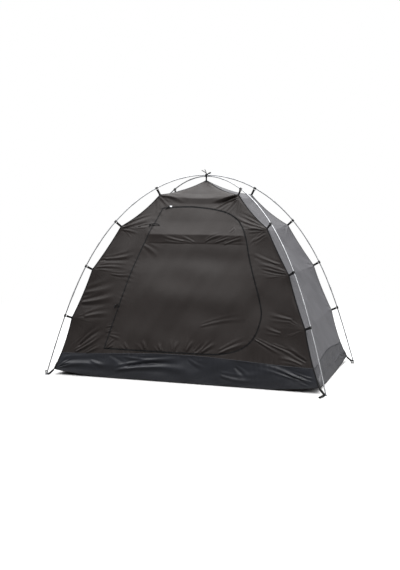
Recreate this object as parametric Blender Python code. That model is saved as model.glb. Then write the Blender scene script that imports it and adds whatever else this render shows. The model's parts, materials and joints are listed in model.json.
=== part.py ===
"""Clip-on dome tent: a fabric inner tent hung by webbing clips from two crossing bent poles.

Metres, +Z up. The origin is on the ground under the crossing of the poles, +X runs along
the long side, and the wall with the door faces -Y. The fabric is modelled thicker than it
is, as closed shells with its true outer shape.
"""

import math

import bmesh
import bpy
import numpy as np
from mathutils import Matrix, Vector

# Poles
FOOT_HALF_X = 1.115
FOOT_HALF_Y = 0.685
CROSSING_HEIGHT = 1.577
POLE_RADIUS = 0.00475
BEND_POWER = 2.23
POLE_POINTS = 26
FERRULE_RADIUS = 0.0056
FERRULE_LENGTH = 0.05
FERRULE_STEP = 0.002
FERRULES_PER_HALF = 5
FIRST_FERRULE = 0.24
FERRULE_PITCH = 0.44

# Clips and their webbing, spaced down each pole from the crossing
CLIPS_PER_LEG = 4
CLIP_PITCH = 0.426
STRAP_LENGTH = 0.054
CLIP_WIDTH = 0.020
WEBBING_THICK = 0.0024
HOOK_WALL = 0.0035
HOOK_MOUTH_FROM = 30
HOOK_MOUTH_TO = 110
HOOK_STEPS = 10

# Fabric
PEAK_HEIGHT = 1.539
PEAK_HOLE_RUN = 0.018
CORNER_RUN = 1.246
CORNER_LIFT = 0.040
FLOOR_HALF_X = 1.045
FLOOR_HALF_Y = 0.638
LIFT_START_X = 0.52
LIFT_START_Y = 0.22
LIFT_POWER = 2.2
EDGE_SAG = 0.022
EDGE_SAG_FADE = 3
WALL_BOW = 0.06
CREASE_DROP = 0.02
TUB_TOP_CORNER = 0.33
TUB_TOP_RISE = 0.085
TUB_RISE_POWER = 2.3
FABRIC_THICK = 0.004
FLOOR_THICK = 0.003
ACROSS_STEPS = 16
ROWS_PER_SPAN = 4
TUB_ROWS = 3

# Gaps
TOUCH_GAP = 0.0004
ROW_GAP = 0.001
DOOR_GAP = 0.008
HINGE_CLEARANCE = 0.006

# Door outline on the front wall (x, z): the sewn seam on its left and the zip round the rest
DOOR_SEAM = [(-0.643, 0.226), (-0.547, 0.553), (-0.447, 0.895), (-0.284, 1.317)]
DOOR_ZIP = [
    (-0.284, 1.317), (-0.035, 1.326), (0.250, 1.282), (0.398, 1.167), (0.481, 0.919),
    (0.577, 0.643), (0.598, 0.500), (0.526, 0.329), (0.339, 0.241), (0.000, 0.226), (-0.643, 0.226),
]
OUTLINE_STEPS = 4
ZIP_WIDTH = 0.010
ZIP_OFFSET = 0.008
ZIP_THICK = 0.0014
SLIDER_SIZE = (0.017, 0.012, 0.007)
PULL_SIZE = (0.038, 0.009, 0.0016)
TOGGLE_HEIGHTS = {"upper": 1.180, "lower": 0.553}
TOGGLE_INSET = 0.030
TOGGLE_LENGTH = 0.030
TOGGLE_RADIUS = 0.004

# Feet
FOOT_RING_RADIUS = 0.0105
FOOT_RING_WIRE = 0.0016
FOOT_PIN_RADIUS = 0.0036
FOOT_PIN_HEIGHT = 0.006
FOOT_PIN_START = 0.0022
FOOT_PIN_SIDES = 12
RING_WIRE_SIDES = 6
RING_STEPS = 16
CORNER_STRAP_WIDTH = 0.017
CORNER_STRAP_RISE = 0.055
# Where the strap leaves the tub for the ring: (out past the floor corner, down from it)
CORNER_STRAP_TURN = (0.010, 0.008)
CORNER_STRAP_FLAT = 0.006
CORNER_STRAP_CLEAR = 0.0005
PEG_LOOP_LENGTH = 0.10
PEG_LOOP_WIDTH = 0.022
PEG_LOOP_BAND = 0.0024
PEG_LOOP_HEIGHT = 0.010
PEG_LOOP_BEND_STEPS = 9
PEG_LOOP_HEADING = {"front_left": 118, "front_right": -103, "back_right": -85, "back_left": -95}

# Tie at the crossing; the toggle's ends and the cord's tips are (x, height over the crossing)
APEX_BAND_HALF = 0.0100
APEX_BAND_WIDTH = 0.012
APEX_BAND_GAP = 0.0006
APEX_STEM_DEPTH = 0.0112
PEAK_PLUG_GAP = 0.0014
APEX_TOGGLE_RADIUS = 0.0065
APEX_TOGGLE_ENDS = [(-0.004, 0.002), (0.044, 0.024)]
APEX_KNOT_RADIUS = 0.0045
APEX_CORD_RADIUS = 0.0028
APEX_CORD_TIPS = {"long": (-0.040, 0.028), "short": (-0.014, 0.034)}
ROD_SIDES = 10

LEGS = {"front_left": (-1, -1), "front_right": (1, -1), "back_right": (1, 1), "back_left": (-1, 1)}

COLOURS = {
    "wall": ((0.045, 0.040, 0.038), 0.62, 0.0),
    "side": ((0.17, 0.17, 0.18), 0.60, 0.0),
    "tub": ((0.040, 0.043, 0.052), 0.45, 0.0),
    "tub_side": ((0.12, 0.12, 0.13), 0.50, 0.0),
    "groundsheet": ((0.035, 0.037, 0.042), 0.50, 0.0),
    "pole": ((0.75, 0.76, 0.78), 0.30, 1.0),
    "ring": ((0.55, 0.56, 0.58), 0.35, 1.0),
    "webbing": ((0.012, 0.012, 0.013), 0.80, 0.0),
    "plastic": ((0.020, 0.020, 0.021), 0.40, 0.0),
}


def material(kind):
    """The named material, made the first time it is asked for."""
    if kind in bpy.data.materials:
        return bpy.data.materials[kind]
    colour, roughness, metallic = COLOURS[kind]
    made = bpy.data.materials.new(kind)
    made.use_nodes = True
    shader = made.node_tree.nodes["Principled BSDF"]
    shader.inputs["Base Color"].default_value = (*colour, 1)
    shader.inputs["Roughness"].default_value = roughness
    shader.inputs["Metallic"].default_value = metallic
    return made


def add_object(name, mesh, kind):
    obj = bpy.data.objects.new(name, mesh)
    bpy.context.scene.collection.objects.link(obj)
    if kind:
        mesh.materials.append(material(kind))
    return obj


def object_from_bmesh(name, bm, kind):
    """Close a bmesh into an object with triangles facing out."""
    bmesh.ops.recalc_face_normals(bm, faces=bm.faces)
    bmesh.ops.triangulate(bm, faces=bm.faces)
    mesh = bpy.data.meshes.new(name)
    bm.to_mesh(mesh)
    bm.free()
    return add_object(name, mesh, kind)


def hide_tool(obj):
    obj.hide_render = True
    obj.display_type = "WIRE"


def boolean(obj, tool, operation):
    """Cut or join with a tool object, which stays in the file as a hidden guide."""
    step = obj.modifiers.new(tool.name, "BOOLEAN")
    step.object = tool
    step.operation = operation
    hide_tool(tool)


def move_origin(obj, point):
    obj.data.transform(Matrix.Translation(-point))
    obj.location = point


def half_diagonal():
    return math.hypot(FOOT_HALF_X, FOOT_HALF_Y)


def pole_half(crown, samples=600):
    """One pole half from foot to crown: its length, foot slope, and runs and rises along it.

    The slope falls from the foot to level at the crown as 1 - share ** BEND_POWER.
    """
    share = (np.arange(samples) + 0.5) / samples
    low, high = math.radians(40), math.radians(110)
    for _ in range(50):
        foot_slope = (low + high) / 2
        slopes = foot_slope * (1 - share**BEND_POWER)
        run = np.cumsum(np.cos(slopes)) / samples
        rise = np.cumsum(np.sin(slopes)) / samples
        if run[-1] / rise[-1] > half_diagonal() / crown:
            low = foot_slope
        else:
            high = foot_slope
    length = crown / rise[-1]
    runs = np.concatenate([[0], run * length])
    rises = np.concatenate([[0], rise * length])
    return length, foot_slope, runs, rises


def pole_point(half, along):
    """Distance from the centre, height and slope at a length measured up from the foot."""
    length, foot_slope, runs, rises = half
    at = np.linspace(0, length, len(runs))
    out = half_diagonal() - np.interp(along, at, runs)
    height = np.interp(along, at, rises)
    return out, height, foot_slope * (1 - (along / length) ** BEND_POWER)


def seam_anchors():
    """Corner, clip and peak points of the fabric's corner seam, as (out, height)."""
    half = pole_half(CROSSING_HEIGHT)
    anchors = [(CORNER_RUN, CORNER_LIFT)]
    for number in range(CLIPS_PER_LEG):
        out, height, slope = pole_point(half, half[0] - CLIP_PITCH * (CLIPS_PER_LEG - number))
        anchors.append((out - STRAP_LENGTH * math.sin(slope), height - STRAP_LENGTH * math.cos(slope)))
    anchors.append((0.0, PEAK_HEIGHT))
    return anchors


ANCHORS = seam_anchors()
PEAK_LEVEL = len(ANCHORS) - 1
SPAN_LENGTHS = [math.dist(a, b) for a, b in zip(ANCHORS[:-1], ANCHORS[1:])]


def clip_lengths(half):
    """Lengths up a pole at which its clips sit, lowest first: square to the seam's anchors."""
    samples = np.linspace(0, half[0], 4000)
    outs, heights, _ = pole_point(half, samples)
    lengths = []
    for out, height in ANCHORS[1:PEAK_LEVEL]:
        lengths.append(float(samples[np.argmin(np.hypot(outs - out, heights - height))]))
    return lengths


def smooth_step(keys, span, share):
    """A point of the Catmull-Rom curve through the keys, a share of the way along a span."""
    keys = [np.array(key, dtype=float) for key in keys]
    padded = [2 * keys[0] - keys[1]] + keys + [2 * keys[-1] - keys[-2]]
    a, b, c, d = padded[span:span + 4]
    even = 2 * b + (2 * a - 5 * b + 4 * c - d) * share**2
    return (even + (c - a) * share + (3 * b - a - 3 * c + d) * share**3) / 2


def smooth_through(keys, steps):
    """Points of the smooth curve through the keys, with the last key itself."""
    spans = [smooth_step(keys, i // steps, i % steps / steps) for i in range(steps * (len(keys) - 1))]
    return spans + [np.array(keys[-1], dtype=float)]


def seam_point(level, edge_share):
    """(out, height) of the fabric; whole levels are the anchors.

    At the seam, edge_share 1, the fabric hangs in shallow arcs between its anchors. In the
    middle of a wall, edge_share 0, it follows one smooth curve.
    """
    span = min(int(level), PEAK_LEVEL - 1)
    share = level - span
    start, end = np.array(ANCHORS[span]), np.array(ANCHORS[span + 1])
    along = (end - start) / SPAN_LENGTHS[span]
    inward = np.array([-along[1], along[0]])
    if inward[1] > 0:
        inward = -inward
    edge = start + (end - start) * share + inward * EDGE_SAG * 4 * share * (1 - share)
    middle = smooth_step(ANCHORS, span, share)
    return middle + (edge - middle) * edge_share


def arc_share(level):
    """Share of the seam's length that lies below a level."""
    ends = np.concatenate([[0], np.cumsum(SPAN_LENGTHS)])
    return float(np.interp(level, range(PEAK_LEVEL + 1), ends / ends[-1]))


def inward_of_wall(level, depth_share):
    """Unit inward direction (towards the middle, up) of a wall whose depth is a share of out."""
    slopes = []
    for (out_a, height_a), (out_b, height_b) in zip(ANCHORS[:-1], ANCHORS[1:]):
        slopes.append(math.atan2(height_b - height_a, (out_a - out_b) * depth_share))
    slope = np.interp(level, np.arange(PEAK_LEVEL) + 0.5, slopes)
    return math.sin(slope), -math.cos(slope)


def wall_point(facing, across, level, inset):
    """A point of the fabric: facing names the wall, across runs -1 to 1 between its seams."""
    half_along, half_deep = (FOOT_HALF_X, FOOT_HALF_Y)
    if facing in ("left", "right"):
        half_along, half_deep = half_deep, half_along
    depth_share = half_deep / half_diagonal()
    out, height = seam_point(level, abs(across) ** EDGE_SAG_FADE)
    edge_out, _ = seam_point(level, 1.0)
    inward, down = inward_of_wall(level, depth_share)
    bow = WALL_BOW * math.sin(math.pi * arc_share(level) ** 1.5) * (1 - across * across)
    deep = out * depth_share - inward * (bow + inset)
    edge_deep = edge_out * depth_share - inward * inset
    along = across * (edge_deep * half_along / half_deep - TOUCH_GAP)
    return turn_to_wall(facing, along, deep, height + down * (bow + inset))


def turn_to_wall(facing, along, deep, height):
    if facing == "front":
        return Vector((along, -deep, height))
    if facing == "back":
        return Vector((-along, deep, height))
    if facing == "right":
        return Vector((deep, along, height))
    return Vector((-deep, -along, height))


def tub_level(across):
    """Level of the seam between the waterproof tub and the wall above it."""
    return TUB_TOP_CORNER + TUB_TOP_RISE * (1 - across * across) ** TUB_RISE_POWER


def crease_level(across):
    """Level of the crease between the wall and the roof triangle."""
    return PEAK_LEVEL - 1 - CREASE_DROP * (1 - across * across)


def grid_steps(count):
    return np.linspace(-1, 1, count + 1)


def shell_object(name, outer, inner, kind):
    """A closed shell between two grids of points of the same size."""
    rows, columns = len(outer), len(outer[0])
    bm = bmesh.new()
    sheets = []
    for grid in (outer, inner):
        sheets.append([[bm.verts.new(point) for point in row] for row in grid])
    for sheet in sheets:
        for i in range(rows - 1):
            for j in range(columns - 1):
                bm.faces.new((sheet[i][j], sheet[i][j + 1], sheet[i + 1][j + 1], sheet[i + 1][j]))
    rims = [[(i, 0) for i in range(rows)], [(i, columns - 1) for i in range(rows)]]
    rims += [[(0, j) for j in range(columns)], [(rows - 1, j) for j in range(columns)]]
    for rim in rims:
        for (i, j), (k, m) in zip(rim[:-1], rim[1:]):
            bm.faces.new((sheets[0][i][j], sheets[0][k][m], sheets[1][k][m], sheets[1][i][j]))
    return object_from_bmesh(name, bm, kind)


def wall_grid(facing, inset):
    grid = []
    rows = ROWS_PER_SPAN * (PEAK_LEVEL - 1)
    for i in range(rows + 1):
        row = []
        for across in grid_steps(ACROSS_STEPS):
            low, high = tub_level(across) + ROW_GAP, crease_level(across)
            row.append(wall_point(facing, across, low + (high - low) * i / rows, inset))
        grid.append(row)
    return grid


def make_wall(facing, kind):
    outer, inner = wall_grid(facing, 0), wall_grid(facing, FABRIC_THICK)
    return shell_object(facing + "_wall", outer, inner, kind)


def roof_grid(facing, inset):
    grid = []
    top = PEAK_LEVEL - PEAK_HOLE_RUN / ANCHORS[-2][0]
    for i in range(ROWS_PER_SPAN + 1):
        row = []
        for across in grid_steps(ACROSS_STEPS // 2):
            low = crease_level(across) + ROW_GAP
            row.append(wall_point(facing, across, low + (top - low) * i / ROWS_PER_SPAN, inset))
        grid.append(row)
    return grid


def make_roof(facing, kind):
    outer, inner = roof_grid(facing, 0), roof_grid(facing, FABRIC_THICK)
    return shell_object("roof_" + facing, outer, inner, kind)


def rise_near_corner(across, start):
    return max(0.0, (abs(across) - start) / (1 - start)) ** LIFT_POWER


def floor_point(across_x, across_y):
    """A point of the groundsheet's underside; both shares run -1 to 1."""
    corner_x = CORNER_RUN * FOOT_HALF_X / half_diagonal()
    corner_y = CORNER_RUN * FOOT_HALF_Y / half_diagonal()
    half_x = FLOOR_HALF_X + (corner_x - FLOOR_HALF_X) * across_y**4
    half_y = FLOOR_HALF_Y + (corner_y - FLOOR_HALF_Y) * across_x**4
    lift = rise_near_corner(across_x, LIFT_START_X) * rise_near_corner(across_y, LIFT_START_Y)
    return Vector((across_x * half_x, across_y * half_y, CORNER_LIFT * lift))


def make_floor():
    lift = Vector((0, 0, FLOOR_THICK))
    under = [[floor_point(x, y) for x in grid_steps(ACROSS_STEPS)] for y in grid_steps(ACROSS_STEPS)]
    upper = [[point + lift for point in row] for row in under]
    return shell_object("floor", upper, under, "groundsheet")


def tub_foot(facing, across, inset):
    """Bottom edge of a tub wall, standing on the rim of the floor."""
    if facing in ("front", "back"):
        rim = floor_point(across, -1)
        along, deep = rim.x, -rim.y
    else:
        rim = floor_point(-1, across)
        along, deep = rim.y, -rim.x
    side_ratio = abs(along / deep) if deep else 1
    inner_deep = deep - inset
    inner_along = math.copysign(max(abs(along) - inset * side_ratio * abs(across), 0), along)
    edge_gap = TOUCH_GAP * across
    point = turn_to_wall(facing, inner_along - edge_gap, inner_deep, rim.z + FLOOR_THICK)
    return point + Vector((0, 0, TOUCH_GAP))


def tub_grid(facing, inset):
    grid = []
    for i in range(TUB_ROWS + 1):
        row = []
        for across in grid_steps(ACROSS_STEPS):
            foot = tub_foot(facing, across, inset)
            top = wall_point(facing, across, tub_level(across), inset)
            row.append(foot.lerp(top, i / TUB_ROWS))
        grid.append(row)
    return grid


def make_tub(facing, kind):
    return shell_object("tub_" + facing, tub_grid(facing, 0), tub_grid(facing, FABRIC_THICK), kind)


def offset_outline(points, distance):
    """Move an open line's points to the left of the direction of travel, with mitred corners."""
    normals = []
    for start, end in zip(points[:-1], points[1:]):
        step = (end - start) / np.linalg.norm(end - start)
        normals.append(np.array([-step[1], step[0]]))
    moved = []
    for point, before, after in zip(points, normals[:1] + normals, normals + normals[-1:]):
        middle = (before + after) / 2
        moved.append(point + middle * distance / (middle @ middle))
    return moved


def door_outline(zip_gap, seam_gap):
    """The door's closed outline in (x, z), grown by a gap on its zip side and on its seam side."""
    seam = smooth_through(DOOR_SEAM, OUTLINE_STEPS)
    for end, inner in ((0, 1), (-1, -2)):
        away = seam[end] - seam[inner]
        seam[end] = seam[end] + away * zip_gap / np.linalg.norm(away)
    zipped = smooth_through(DOOR_ZIP, OUTLINE_STEPS)
    return offset_outline(seam, seam_gap) + offset_outline(zipped, zip_gap)[1:-1]


def outline_prism(name, outline):
    """A prism through the front wall with the given outline in (x, z)."""
    bm = bmesh.new()
    front = [bm.verts.new((x, -FLOOR_HALF_Y - 0.1, z)) for x, z in outline]
    face = bm.faces.new(front)
    swept = bmesh.ops.extrude_face_region(bm, geom=[face])
    verts = [item for item in swept["geom"] if isinstance(item, bmesh.types.BMVert)]
    bmesh.ops.translate(bm, verts=verts, vec=(0, FLOOR_HALF_Y, 0))
    return object_from_bmesh(name, bm, None)


def front_point(x, z, lift=0.0):
    """The outer face of the front wall at (x, z), raised along its outward normal."""
    low, high = TUB_TOP_CORNER, float(PEAK_LEVEL) - 0.5
    for _ in range(30):
        level = (low + high) / 2
        edge = wall_point("front", 1.0, level, 0).x
        if wall_point("front", x / edge, level, 0).z < z:
            low = level
        else:
            high = level
    point = wall_point("front", x / edge, level, 0)
    return point + front_normal(x / edge, level) * lift


def front_normal(across, level):
    step = 0.02
    side = wall_point("front", across + step, level, 0) - wall_point("front", across - step, level, 0)
    rise = wall_point("front", across, level + step, 0) - wall_point("front", across, level - step, 0)
    return side.cross(rise).normalized()


def surface_frame(x, z, heading, lift):
    """A frame on the front wall: X along the heading in (x, z), Z out of the fabric."""
    here = front_point(x, z, lift)
    ahead = front_point(x + heading[0] * 0.01, z + heading[1] * 0.01, lift)
    out = (front_point(x, z, 0.01) - front_point(x, z)).normalized()
    along = (ahead - here).normalized()
    across = out.cross(along).normalized()
    along = across.cross(out)
    frame = Matrix((along, across, out)).transposed().to_4x4()
    frame.translation = here
    return frame


def hinge_line():
    """A point and a downward direction of the door's hinge, outside every part of its seam."""
    seam = [front_point(x, z) for x, z in smooth_through(DOOR_SEAM, OUTLINE_STEPS)]
    upward = (seam[-1] - seam[0]).normalized()
    outward = Vector((0, -1, 0))
    outward = (outward - upward * outward.dot(upward)).normalized()
    sideways = outward.cross(upward)
    if sideways.x > 0:
        sideways = -sideways
    bulge_out = max((point - seam[0]).dot(outward) for point in seam)
    bulge_side = max((point - seam[0]).dot(sideways) for point in seam)
    start = seam[0] + outward * (bulge_out + HINGE_CLEARANCE) + sideways * bulge_side
    return start, -upward


def make_front_wall_and_door():
    wall = make_wall("front", "wall")
    door = make_wall("front", "wall")
    door.name = "door"
    opening = door_outline(DOOR_GAP / 2, TOUCH_GAP / 2)
    panel = door_outline(-DOOR_GAP / 2, -TOUCH_GAP / 2)
    boolean(wall, outline_prism("opening_cutter", opening), "DIFFERENCE")
    boolean(door, outline_prism("door_cutter", panel), "INTERSECT")
    move_origin(door, hinge_line()[0])


def make_zip():
    """The zip's tape: a strip on the wall round the opening, open along the sewn seam."""
    outer, inner = wall_grid("front", -TOUCH_GAP - ZIP_THICK), wall_grid("front", -TOUCH_GAP)
    tape = shell_object("door_zip", outer, inner, "plastic")
    path = smooth_through(DOOR_ZIP, OUTLINE_STEPS)
    near = offset_outline(path, ZIP_OFFSET)
    far = offset_outline(path, ZIP_OFFSET + ZIP_WIDTH)
    boolean(tape, outline_prism("zip_cutter", near + far[::-1]), "INTERSECT")


def box_mesh(bm, size, centre=(0, 0, 0)):
    made = bmesh.ops.create_cube(bm, size=1.0)
    bmesh.ops.scale(bm, verts=made["verts"], vec=size)
    bmesh.ops.translate(bm, verts=made["verts"], vec=centre)
    return made["verts"]


def make_slider():
    """The zip's slider at the top left of the door, with its pull laid over the wall."""
    path = smooth_through(DOOR_ZIP, OUTLINE_STEPS)
    centre = offset_outline(path, ZIP_OFFSET + ZIP_WIDTH / 2)[1]
    bm = bmesh.new()
    box_mesh(bm, SLIDER_SIZE, (0, 0, SLIDER_SIZE[2] / 2))
    slider = object_from_bmesh("zip_slider", bm, "ring")
    bm = bmesh.new()
    box_mesh(bm, PULL_SIZE, (-PULL_SIZE[0] / 2, 0, SLIDER_SIZE[2] - PULL_SIZE[2]))
    pull = object_from_bmesh("pull_tool", bm, None)
    frame = surface_frame(*centre, (1, 0), ZIP_THICK + 2 * TOUCH_GAP)
    slider.matrix_world = frame
    pull.matrix_world = frame
    boolean(slider, pull, "UNION")


def make_toggle(name, height):
    """A toggle on the wall beside the door's seam, which ties the rolled door back."""
    seam = smooth_through(DOOR_SEAM, OUTLINE_STEPS)
    x = float(np.interp(height, [z for _, z in seam], [x for x, _ in seam])) - TOGGLE_INSET
    bm = bmesh.new()
    bmesh.ops.create_cone(
        bm, cap_ends=True, segments=12, radius1=TOGGLE_RADIUS, radius2=TOGGLE_RADIUS, depth=TOGGLE_LENGTH,
    )
    bmesh.ops.rotate(bm, verts=bm.verts, matrix=Matrix.Rotation(math.pi / 2, 3, "Y"))
    toggle = object_from_bmesh("toggle_" + name, bm, "plastic")
    toggle.matrix_world = surface_frame(x, height, (0.3, 1), TOGGLE_RADIUS + TOUCH_GAP)


def leg_axes(leg):
    """Unit vectors of a leg: out along its diagonal, and across it."""
    sign_x, sign_y = LEGS[leg]
    out = Vector((sign_x * FOOT_HALF_X, sign_y * FOOT_HALF_Y, 0)).normalized()
    return out, Vector((0, 0, 1)).cross(out)


def pole_crown(leg):
    """Height of the crown of the pole that a leg belongs to: the first pole passes over."""
    spread = POLE_RADIUS + TOUCH_GAP / 2
    over = leg in ("front_left", "back_right")
    return CROSSING_HEIGHT + (spread if over else -spread)


def pole_stations(half):
    """Lengths up from the foot, with the pole's radius at each: plain tube, clips, ferrules."""
    length = half[0]
    plain = np.linspace(FOOT_PIN_HEIGHT + TOUCH_GAP, length, POLE_POINTS)
    radii = {along: POLE_RADIUS for along in plain}
    for along in clip_lengths(half):
        for side in (-1, 1):
            radii[along + side * (CLIP_WIDTH / 2 + FERRULE_STEP)] = POLE_RADIUS
    for number in range(FERRULES_PER_HALF):
        middle = FIRST_FERRULE + number * FERRULE_PITCH
        for side in (-1, 1):
            end = middle + side * FERRULE_LENGTH / 2
            radii[end] = FERRULE_RADIUS
            radii[end + side * FERRULE_STEP] = POLE_RADIUS
        for along in radii:
            if abs(along - middle) < FERRULE_LENGTH / 2 + FERRULE_STEP / 2:
                radii[along] = FERRULE_RADIUS
    return sorted(radii.items())


def make_pole(first, second):
    """A pole as a bevelled curve from foot to foot, thicker at the ferrules of its sections."""
    half = pole_half(pole_crown(first))
    points = []
    for leg, order in ((first, 1), (second, -1)):
        out = leg_axes(leg)[0]
        side = []
        for along, radius in pole_stations(half):
            distance, height, _ = pole_point(half, along)
            side.append((out * distance + Vector((0, 0, height)), radius))
        points += side if order == 1 else side[-2::-1]
    curve = bpy.data.curves.new("pole", "CURVE")
    curve.dimensions = "3D"
    curve.bevel_depth = 1.0
    curve.bevel_resolution = 1
    curve.use_fill_caps = True
    spline = curve.splines.new("POLY")
    spline.points.add(len(points) - 1)
    for slot, (point, radius) in zip(spline.points, points):
        slot.co = (*point, 1)
        slot.radius = radius
    curve.materials.append(material("pole"))
    pole = bpy.data.objects.new(f"pole_{first}_to_{second}", curve)
    bpy.context.scene.collection.objects.link(pole)


def ring_point(radius, degrees):
    angle = math.radians(degrees)
    return radius * math.cos(angle), radius * math.sin(angle)


def clip_profile(strap_end):
    """Outline of a clip across its pole: X towards the fabric, Y across the diagonal."""
    inner = POLE_RADIUS + TOUCH_GAP
    outer = inner + HOOK_WALL
    stem = math.degrees(math.asin(WEBBING_THICK / 2 / outer))
    turns = np.linspace(HOOK_MOUTH_TO, 360 - stem, HOOK_STEPS)
    outline = [ring_point(outer, turn) for turn in turns]
    outline += [(strap_end, -WEBBING_THICK / 2), (strap_end, WEBBING_THICK / 2)]
    outline += [ring_point(outer, turn) for turn in (360 + stem, 360 + HOOK_MOUTH_FROM)]
    turns = np.linspace(360 + HOOK_MOUTH_FROM, HOOK_MOUTH_TO, HOOK_STEPS)
    return outline + [ring_point(inner, turn) for turn in turns]


def extruded(name, outline, depth, kind):
    """A prism of an outline in XY, centred on Z."""
    bm = bmesh.new()
    face = bm.faces.new([bm.verts.new((x, y, -depth / 2)) for x, y in outline])
    swept = bmesh.ops.extrude_face_region(bm, geom=[face])
    verts = [item for item in swept["geom"] if isinstance(item, bmesh.types.BMVert)]
    bmesh.ops.translate(bm, verts=verts, vec=(0, 0, depth))
    return object_from_bmesh(name, bm, kind)


def make_clip(leg, number):
    """One clip: a hook that snaps over the pole, with its strap down to the fabric seam."""
    half = pole_half(pole_crown(leg))
    out_axis, across_axis = leg_axes(leg)
    distance, height, _ = pole_point(half, clip_lengths(half)[number - 1])
    at_pole = out_axis * distance + Vector((0, 0, height))
    seam_out, seam_height = ANCHORS[number]
    at_seam = out_axis * seam_out + Vector((0, 0, seam_height))
    toward = (at_seam - at_pole).normalized()
    profile = clip_profile((at_seam - at_pole).length - TOUCH_GAP)
    clip = extruded(f"clip_{leg}_{number}", profile, CLIP_WIDTH, "webbing")
    frame = Matrix((toward, across_axis, toward.cross(across_axis))).transposed().to_4x4()
    clip.matrix_world = Matrix.Translation(at_pole) @ frame


def strap_outline(centre_line, thick):
    """A flat ribbon seen edge on: the centre line widened to both sides."""
    points = [np.array(point) for point in centre_line]
    return offset_outline(points, thick / 2) + offset_outline(points, -thick / 2)[::-1]


def make_corner_strap(leg):
    """Webbing from the tub's corner seam down to the ring at the pole's foot."""
    foot, top = np.array(ANCHORS[0]), seam_point(TUB_TOP_CORNER, 1.0)
    foot = foot + np.array([0, FLOOR_THICK + TOUCH_GAP])
    along = (top - foot) / np.linalg.norm(top - foot)
    outward = np.array([along[1], -along[0]])
    shift = outward * (TOUCH_GAP + WEBBING_THICK / 2)
    ring_edge = half_diagonal() - FOOT_RING_RADIUS - FOOT_RING_WIRE - TOUCH_GAP
    line = [
        foot + along * CORNER_STRAP_RISE + shift,
        foot + shift,
        (CORNER_RUN + CORNER_STRAP_TURN[0], CORNER_LIFT - CORNER_STRAP_TURN[1]),
        (ring_edge - CORNER_STRAP_FLAT, WEBBING_THICK / 2 + 2 * CORNER_STRAP_CLEAR),
        (ring_edge, WEBBING_THICK / 2 + CORNER_STRAP_CLEAR),
    ]
    outline = strap_outline(line, WEBBING_THICK)
    strap = extruded("corner_strap_" + leg, outline, CORNER_STRAP_WIDTH, "webbing")
    out_axis, across_axis = leg_axes(leg)
    strap.matrix_world = Matrix((out_axis, Vector((0, 0, 1)), -across_axis)).transposed().to_4x4()


def pole_direction(out_axis, slope):
    """Direction up the pole at a slope."""
    return (Vector((0, 0, math.sin(slope))) - out_axis * math.cos(slope)).normalized()


def make_foot_ring(leg):
    """A wire ring on the ground with the pin that the pole's foot stands on."""
    bm = bmesh.new()
    wire_height = FOOT_RING_WIRE * math.cos(math.pi / RING_WIRE_SIDES)
    rim = []
    for i in range(RING_WIRE_SIDES):
        x, z = ring_point(FOOT_RING_WIRE, 360 * (i + 0.5) / RING_WIRE_SIDES)
        rim.append(bm.verts.new((FOOT_RING_RADIUS + x, 0, wire_height + z)))
    edges = [bm.edges.new((rim[i - 1], rim[i])) for i in range(RING_WIRE_SIDES)]
    bmesh.ops.spin(
        bm, geom=rim + edges, cent=(0, 0, 0), axis=(0, 0, 1), angle=2 * math.pi,
        steps=RING_STEPS, use_merge=True,
    )
    out_axis, across_axis = leg_axes(leg)
    centre = out_axis * half_diagonal()
    ring = object_from_bmesh("foot_ring_" + leg, bm, "ring")
    frame = Matrix((out_axis, across_axis, Vector((0, 0, 1)))).transposed().to_4x4()
    frame.translation = centre
    ring.matrix_world = frame
    bm = bmesh.new()
    box_mesh(bm, (2 * FOOT_RING_RADIUS, 2 * FOOT_PIN_RADIUS, FOOT_RING_WIRE), (0, 0, FOOT_RING_WIRE))
    bar = object_from_bmesh("ring_bar_tool_" + leg, bm, None)
    bar.matrix_world = frame
    boolean(ring, bar, "UNION")
    uphill = pole_direction(out_axis, pole_half(pole_crown(leg))[1])
    bm = bmesh.new()
    bmesh.ops.create_cone(
        bm, cap_ends=True, segments=FOOT_PIN_SIDES, radius1=FOOT_PIN_RADIUS,
        radius2=FOOT_PIN_RADIUS, depth=FOOT_PIN_HEIGHT - FOOT_PIN_START,
    )
    pin = object_from_bmesh("pin_tool_" + leg, bm, None)
    tilt = Matrix((across_axis.cross(uphill), across_axis, uphill))
    pin.matrix_world = tilt.transposed().to_4x4()
    pin.location = centre + uphill * (FOOT_PIN_HEIGHT + FOOT_PIN_START) / 2
    boolean(ring, pin, "UNION")


def make_peg_loop(leg):
    """A loop of webbing on the ground, hung on the foot ring, that a peg holds down."""
    bend = PEG_LOOP_WIDTH / 2
    straight = PEG_LOOP_LENGTH - 2 * bend
    outlines = []
    for radius in (bend, bend - PEG_LOOP_BAND):
        turns = np.linspace(-90, 90, PEG_LOOP_BEND_STEPS)
        far = [(straight + ring_point(radius, turn)[0], ring_point(radius, turn)[1]) for turn in turns]
        near = [ring_point(radius, turn + 180) for turn in turns]
        outlines.append(far + near)
    bm = bmesh.new()
    rings = []
    for outline in outlines:
        for z in (0.0, PEG_LOOP_HEIGHT):
            rings.append([bm.verts.new((x, y, z)) for x, y in outline])
    for first, second in ((0, 1), (2, 3), (0, 2), (1, 3)):
        a, b = rings[first], rings[second]
        for i in range(len(a)):
            bm.faces.new((a[i - 1], a[i], b[i], b[i - 1]))
    loop = object_from_bmesh("peg_loop_" + leg, bm, "webbing")
    heading = math.radians(PEG_LOOP_HEADING[leg])
    reach = FOOT_RING_RADIUS + FOOT_RING_WIRE + TOUCH_GAP + bend
    centre = leg_axes(leg)[0] * half_diagonal()
    start = centre + Vector((math.cos(heading), math.sin(heading), 0)) * reach
    loop.matrix_world = Matrix.Translation(start) @ Matrix.Rotation(heading, 4, "Z")


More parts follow.
